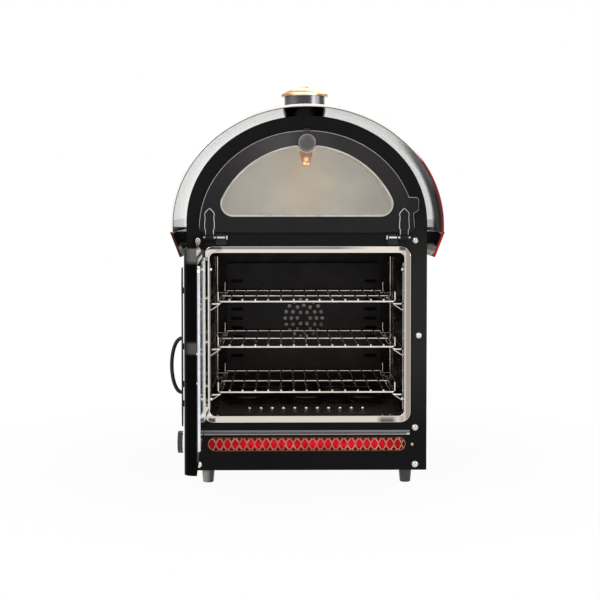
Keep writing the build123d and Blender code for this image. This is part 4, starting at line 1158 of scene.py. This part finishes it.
def build_lamp():
    """The display lamp's amber shade: a turned cup that narrows downwards from its holder."""
    mesh = bmesh.new()
    middle = middle_of("halogen_lamp")
    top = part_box("halogen_lamp")[1][2]
    rings = []
    for radius, drop in SHADE_OUTLINE:
        centre = Vector((middle.x, middle.y, top - drop))
        ring = []
        for turn in turns(SHADE_SPANS):
            out = Vector((math.cos(turn), math.sin(turn), 0)) * radius
            ring.append(mesh.verts.new(centre + out))
        rings.append(ring)
    for upper, lower in zip(rings, rings[1:]):
        join_rings(mesh, lower, upper)
    mesh.faces.new(rings[0])
    mesh.faces.new(reversed(rings[-1]))
    piece = add_piece("lamp_cup", mesh, "lamp_shade", "cabinet")
    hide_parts("halogen_lamp")


def screw_box(x, z):
    """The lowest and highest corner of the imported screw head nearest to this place."""
    near = [
        point.co
        for point in cad["front_screws"].data.vertices
        if abs(point.co.x - x) < SCREW_SEARCH
        and abs(point.co.z - z) < SCREW_SEARCH
        and point.co.y <= CABINET_FRONT
    ]
    low = Vector([min(place[axis] for place in near) for axis in range(3)])
    high = Vector([max(place[axis] for place in near) for axis in range(3)])
    return low, high


def add_screw(mesh, x, z, crossed):
    """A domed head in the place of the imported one, plain or with a cross cut into it."""
    low, high = screw_box(x, z)
    radius = (high.x - low.x) / 2
    proud = CABINET_FRONT - low.y
    centre = Vector(((low.x + high.x) / 2, 0, (low.z + high.z) / 2))
    rings = []
    for number in range(1, SCREW_RINGS + 1):
        share = number / SCREW_RINGS
        ring = []
        for turn in turns(SCREW_SPANS):
            across = radius * share * math.cos(turn)
            up = radius * share * math.sin(turn)
            rise = proud * math.sqrt(max(1 - share**SCREW_FLATNESS, 0.0))
            arm = min(abs(across), abs(up))
            if crossed and share < CROSS_REACH and arm < radius * CROSS_HALF_WIDTH:
                rise -= proud * CROSS_DEPTH
            ring.append(mesh.verts.new(centre + Vector((across, CABINET_FRONT - rise, up))))
        rings.append(ring)
    for inner, outer in zip(rings, rings[1:]):
        join_rings(mesh, outer, inner)
    hub = mesh.verts.new(centre + Vector((0, CABINET_FRONT - proud * CROSS_MIDDLE, 0)))
    for start, following in zip(rings[0], rings[0][1:] + rings[0][:1]):
        mesh.faces.new((start, following, hub))
    mesh.faces.new(rings[-1])


def build_screws():
    """The front's pan-head screws with crossed heads, and the plain stud beside the door."""
    mesh = bmesh.new()
    for x in (-SCREW_X, SCREW_X):
        for z in SCREW_LEVELS:
            add_screw(mesh, x, z, True)
    add_screw(mesh, STUD_X, STUD_Z, False)
    piece = add_piece("front_screw_heads", mesh, "bright_screw", "cabinet")
    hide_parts("front_screws")


def place_key(vertex):
    """A vertex's place, rounded so that it can be found again."""
    return tuple(round(number, 6) for number in vertex.co)


def build_straps():
    """The flap's pointed straps, with a chamfer round the front of each plate."""
    mesh = bmesh.new()
    mesh.from_mesh(cad["flap_straps"].data)
    bmesh.ops.remove_doubles(mesh, verts=mesh.verts, dist=STRAP_WELD)
    flat = math.radians(STRAP_FLAT_DEGREES)
    bmesh.ops.dissolve_limit(mesh, angle_limit=flat, verts=mesh.verts, edges=mesh.edges)
    fronts = [
        face
        for face in mesh.faces
        if face.normal.y < STRAP_FRONT_NORMAL and face.calc_area() > STRAP_FRONT_AREA
    ]
    outline = {place_key(vertex) for face in fronts for vertex in face.verts}
    bmesh.ops.inset_region(
        mesh, faces=fronts, thickness=STRAP_CHAMFER_WIDTH, use_even_offset=True
    )
    for vertex in mesh.verts:
        if place_key(vertex) in outline:
            vertex.co.y += STRAP_CHAMFER_DEPTH
    piece = add_piece(
        "strap_plates", mesh, "strap_paint", "window_flap", smooth=False
    )
    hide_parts("flap_straps")


def build_hole_rims():
    """The rolled rims of the row of holes in the oven's floor plate."""
    mesh = bmesh.new()
    low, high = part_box("floor_plate")
    y = low[1] + HOLE_FROM_EDGE
    for number in range(HOLE_COUNT):
        x = (number - HOLE_COUNT // 2) * HOLE_PITCH
        centre = Vector((x, y, high[2] + RIM_LIFT))
        rings = []
        for turn in turns(RIM_SPANS):
            out = Vector((math.cos(turn), math.sin(turn), 0))
            ring = []
            for round_turn in turns(RIM_SIDES):
                offset = out * (RIM_RADIUS + RIM_HALF_WIDTH * math.cos(round_turn))
                lift = Vector((0, 0, RIM_HALF_HEIGHT * math.sin(round_turn)))
                ring.append(mesh.verts.new(centre + offset + lift))
            rings.append(ring)
        for first, second in zip(rings, rings[1:] + rings[:1]):
            join_rings(mesh, second, first)
    add_piece("floor_hole_rims", mesh, "rack_wire", "cabinet")


build_camera()
build_floor()
build_world()
build_lights()
dress_frame()
build_mesh()
build_lamp()
build_screws()
build_straps()
build_hole_rims()
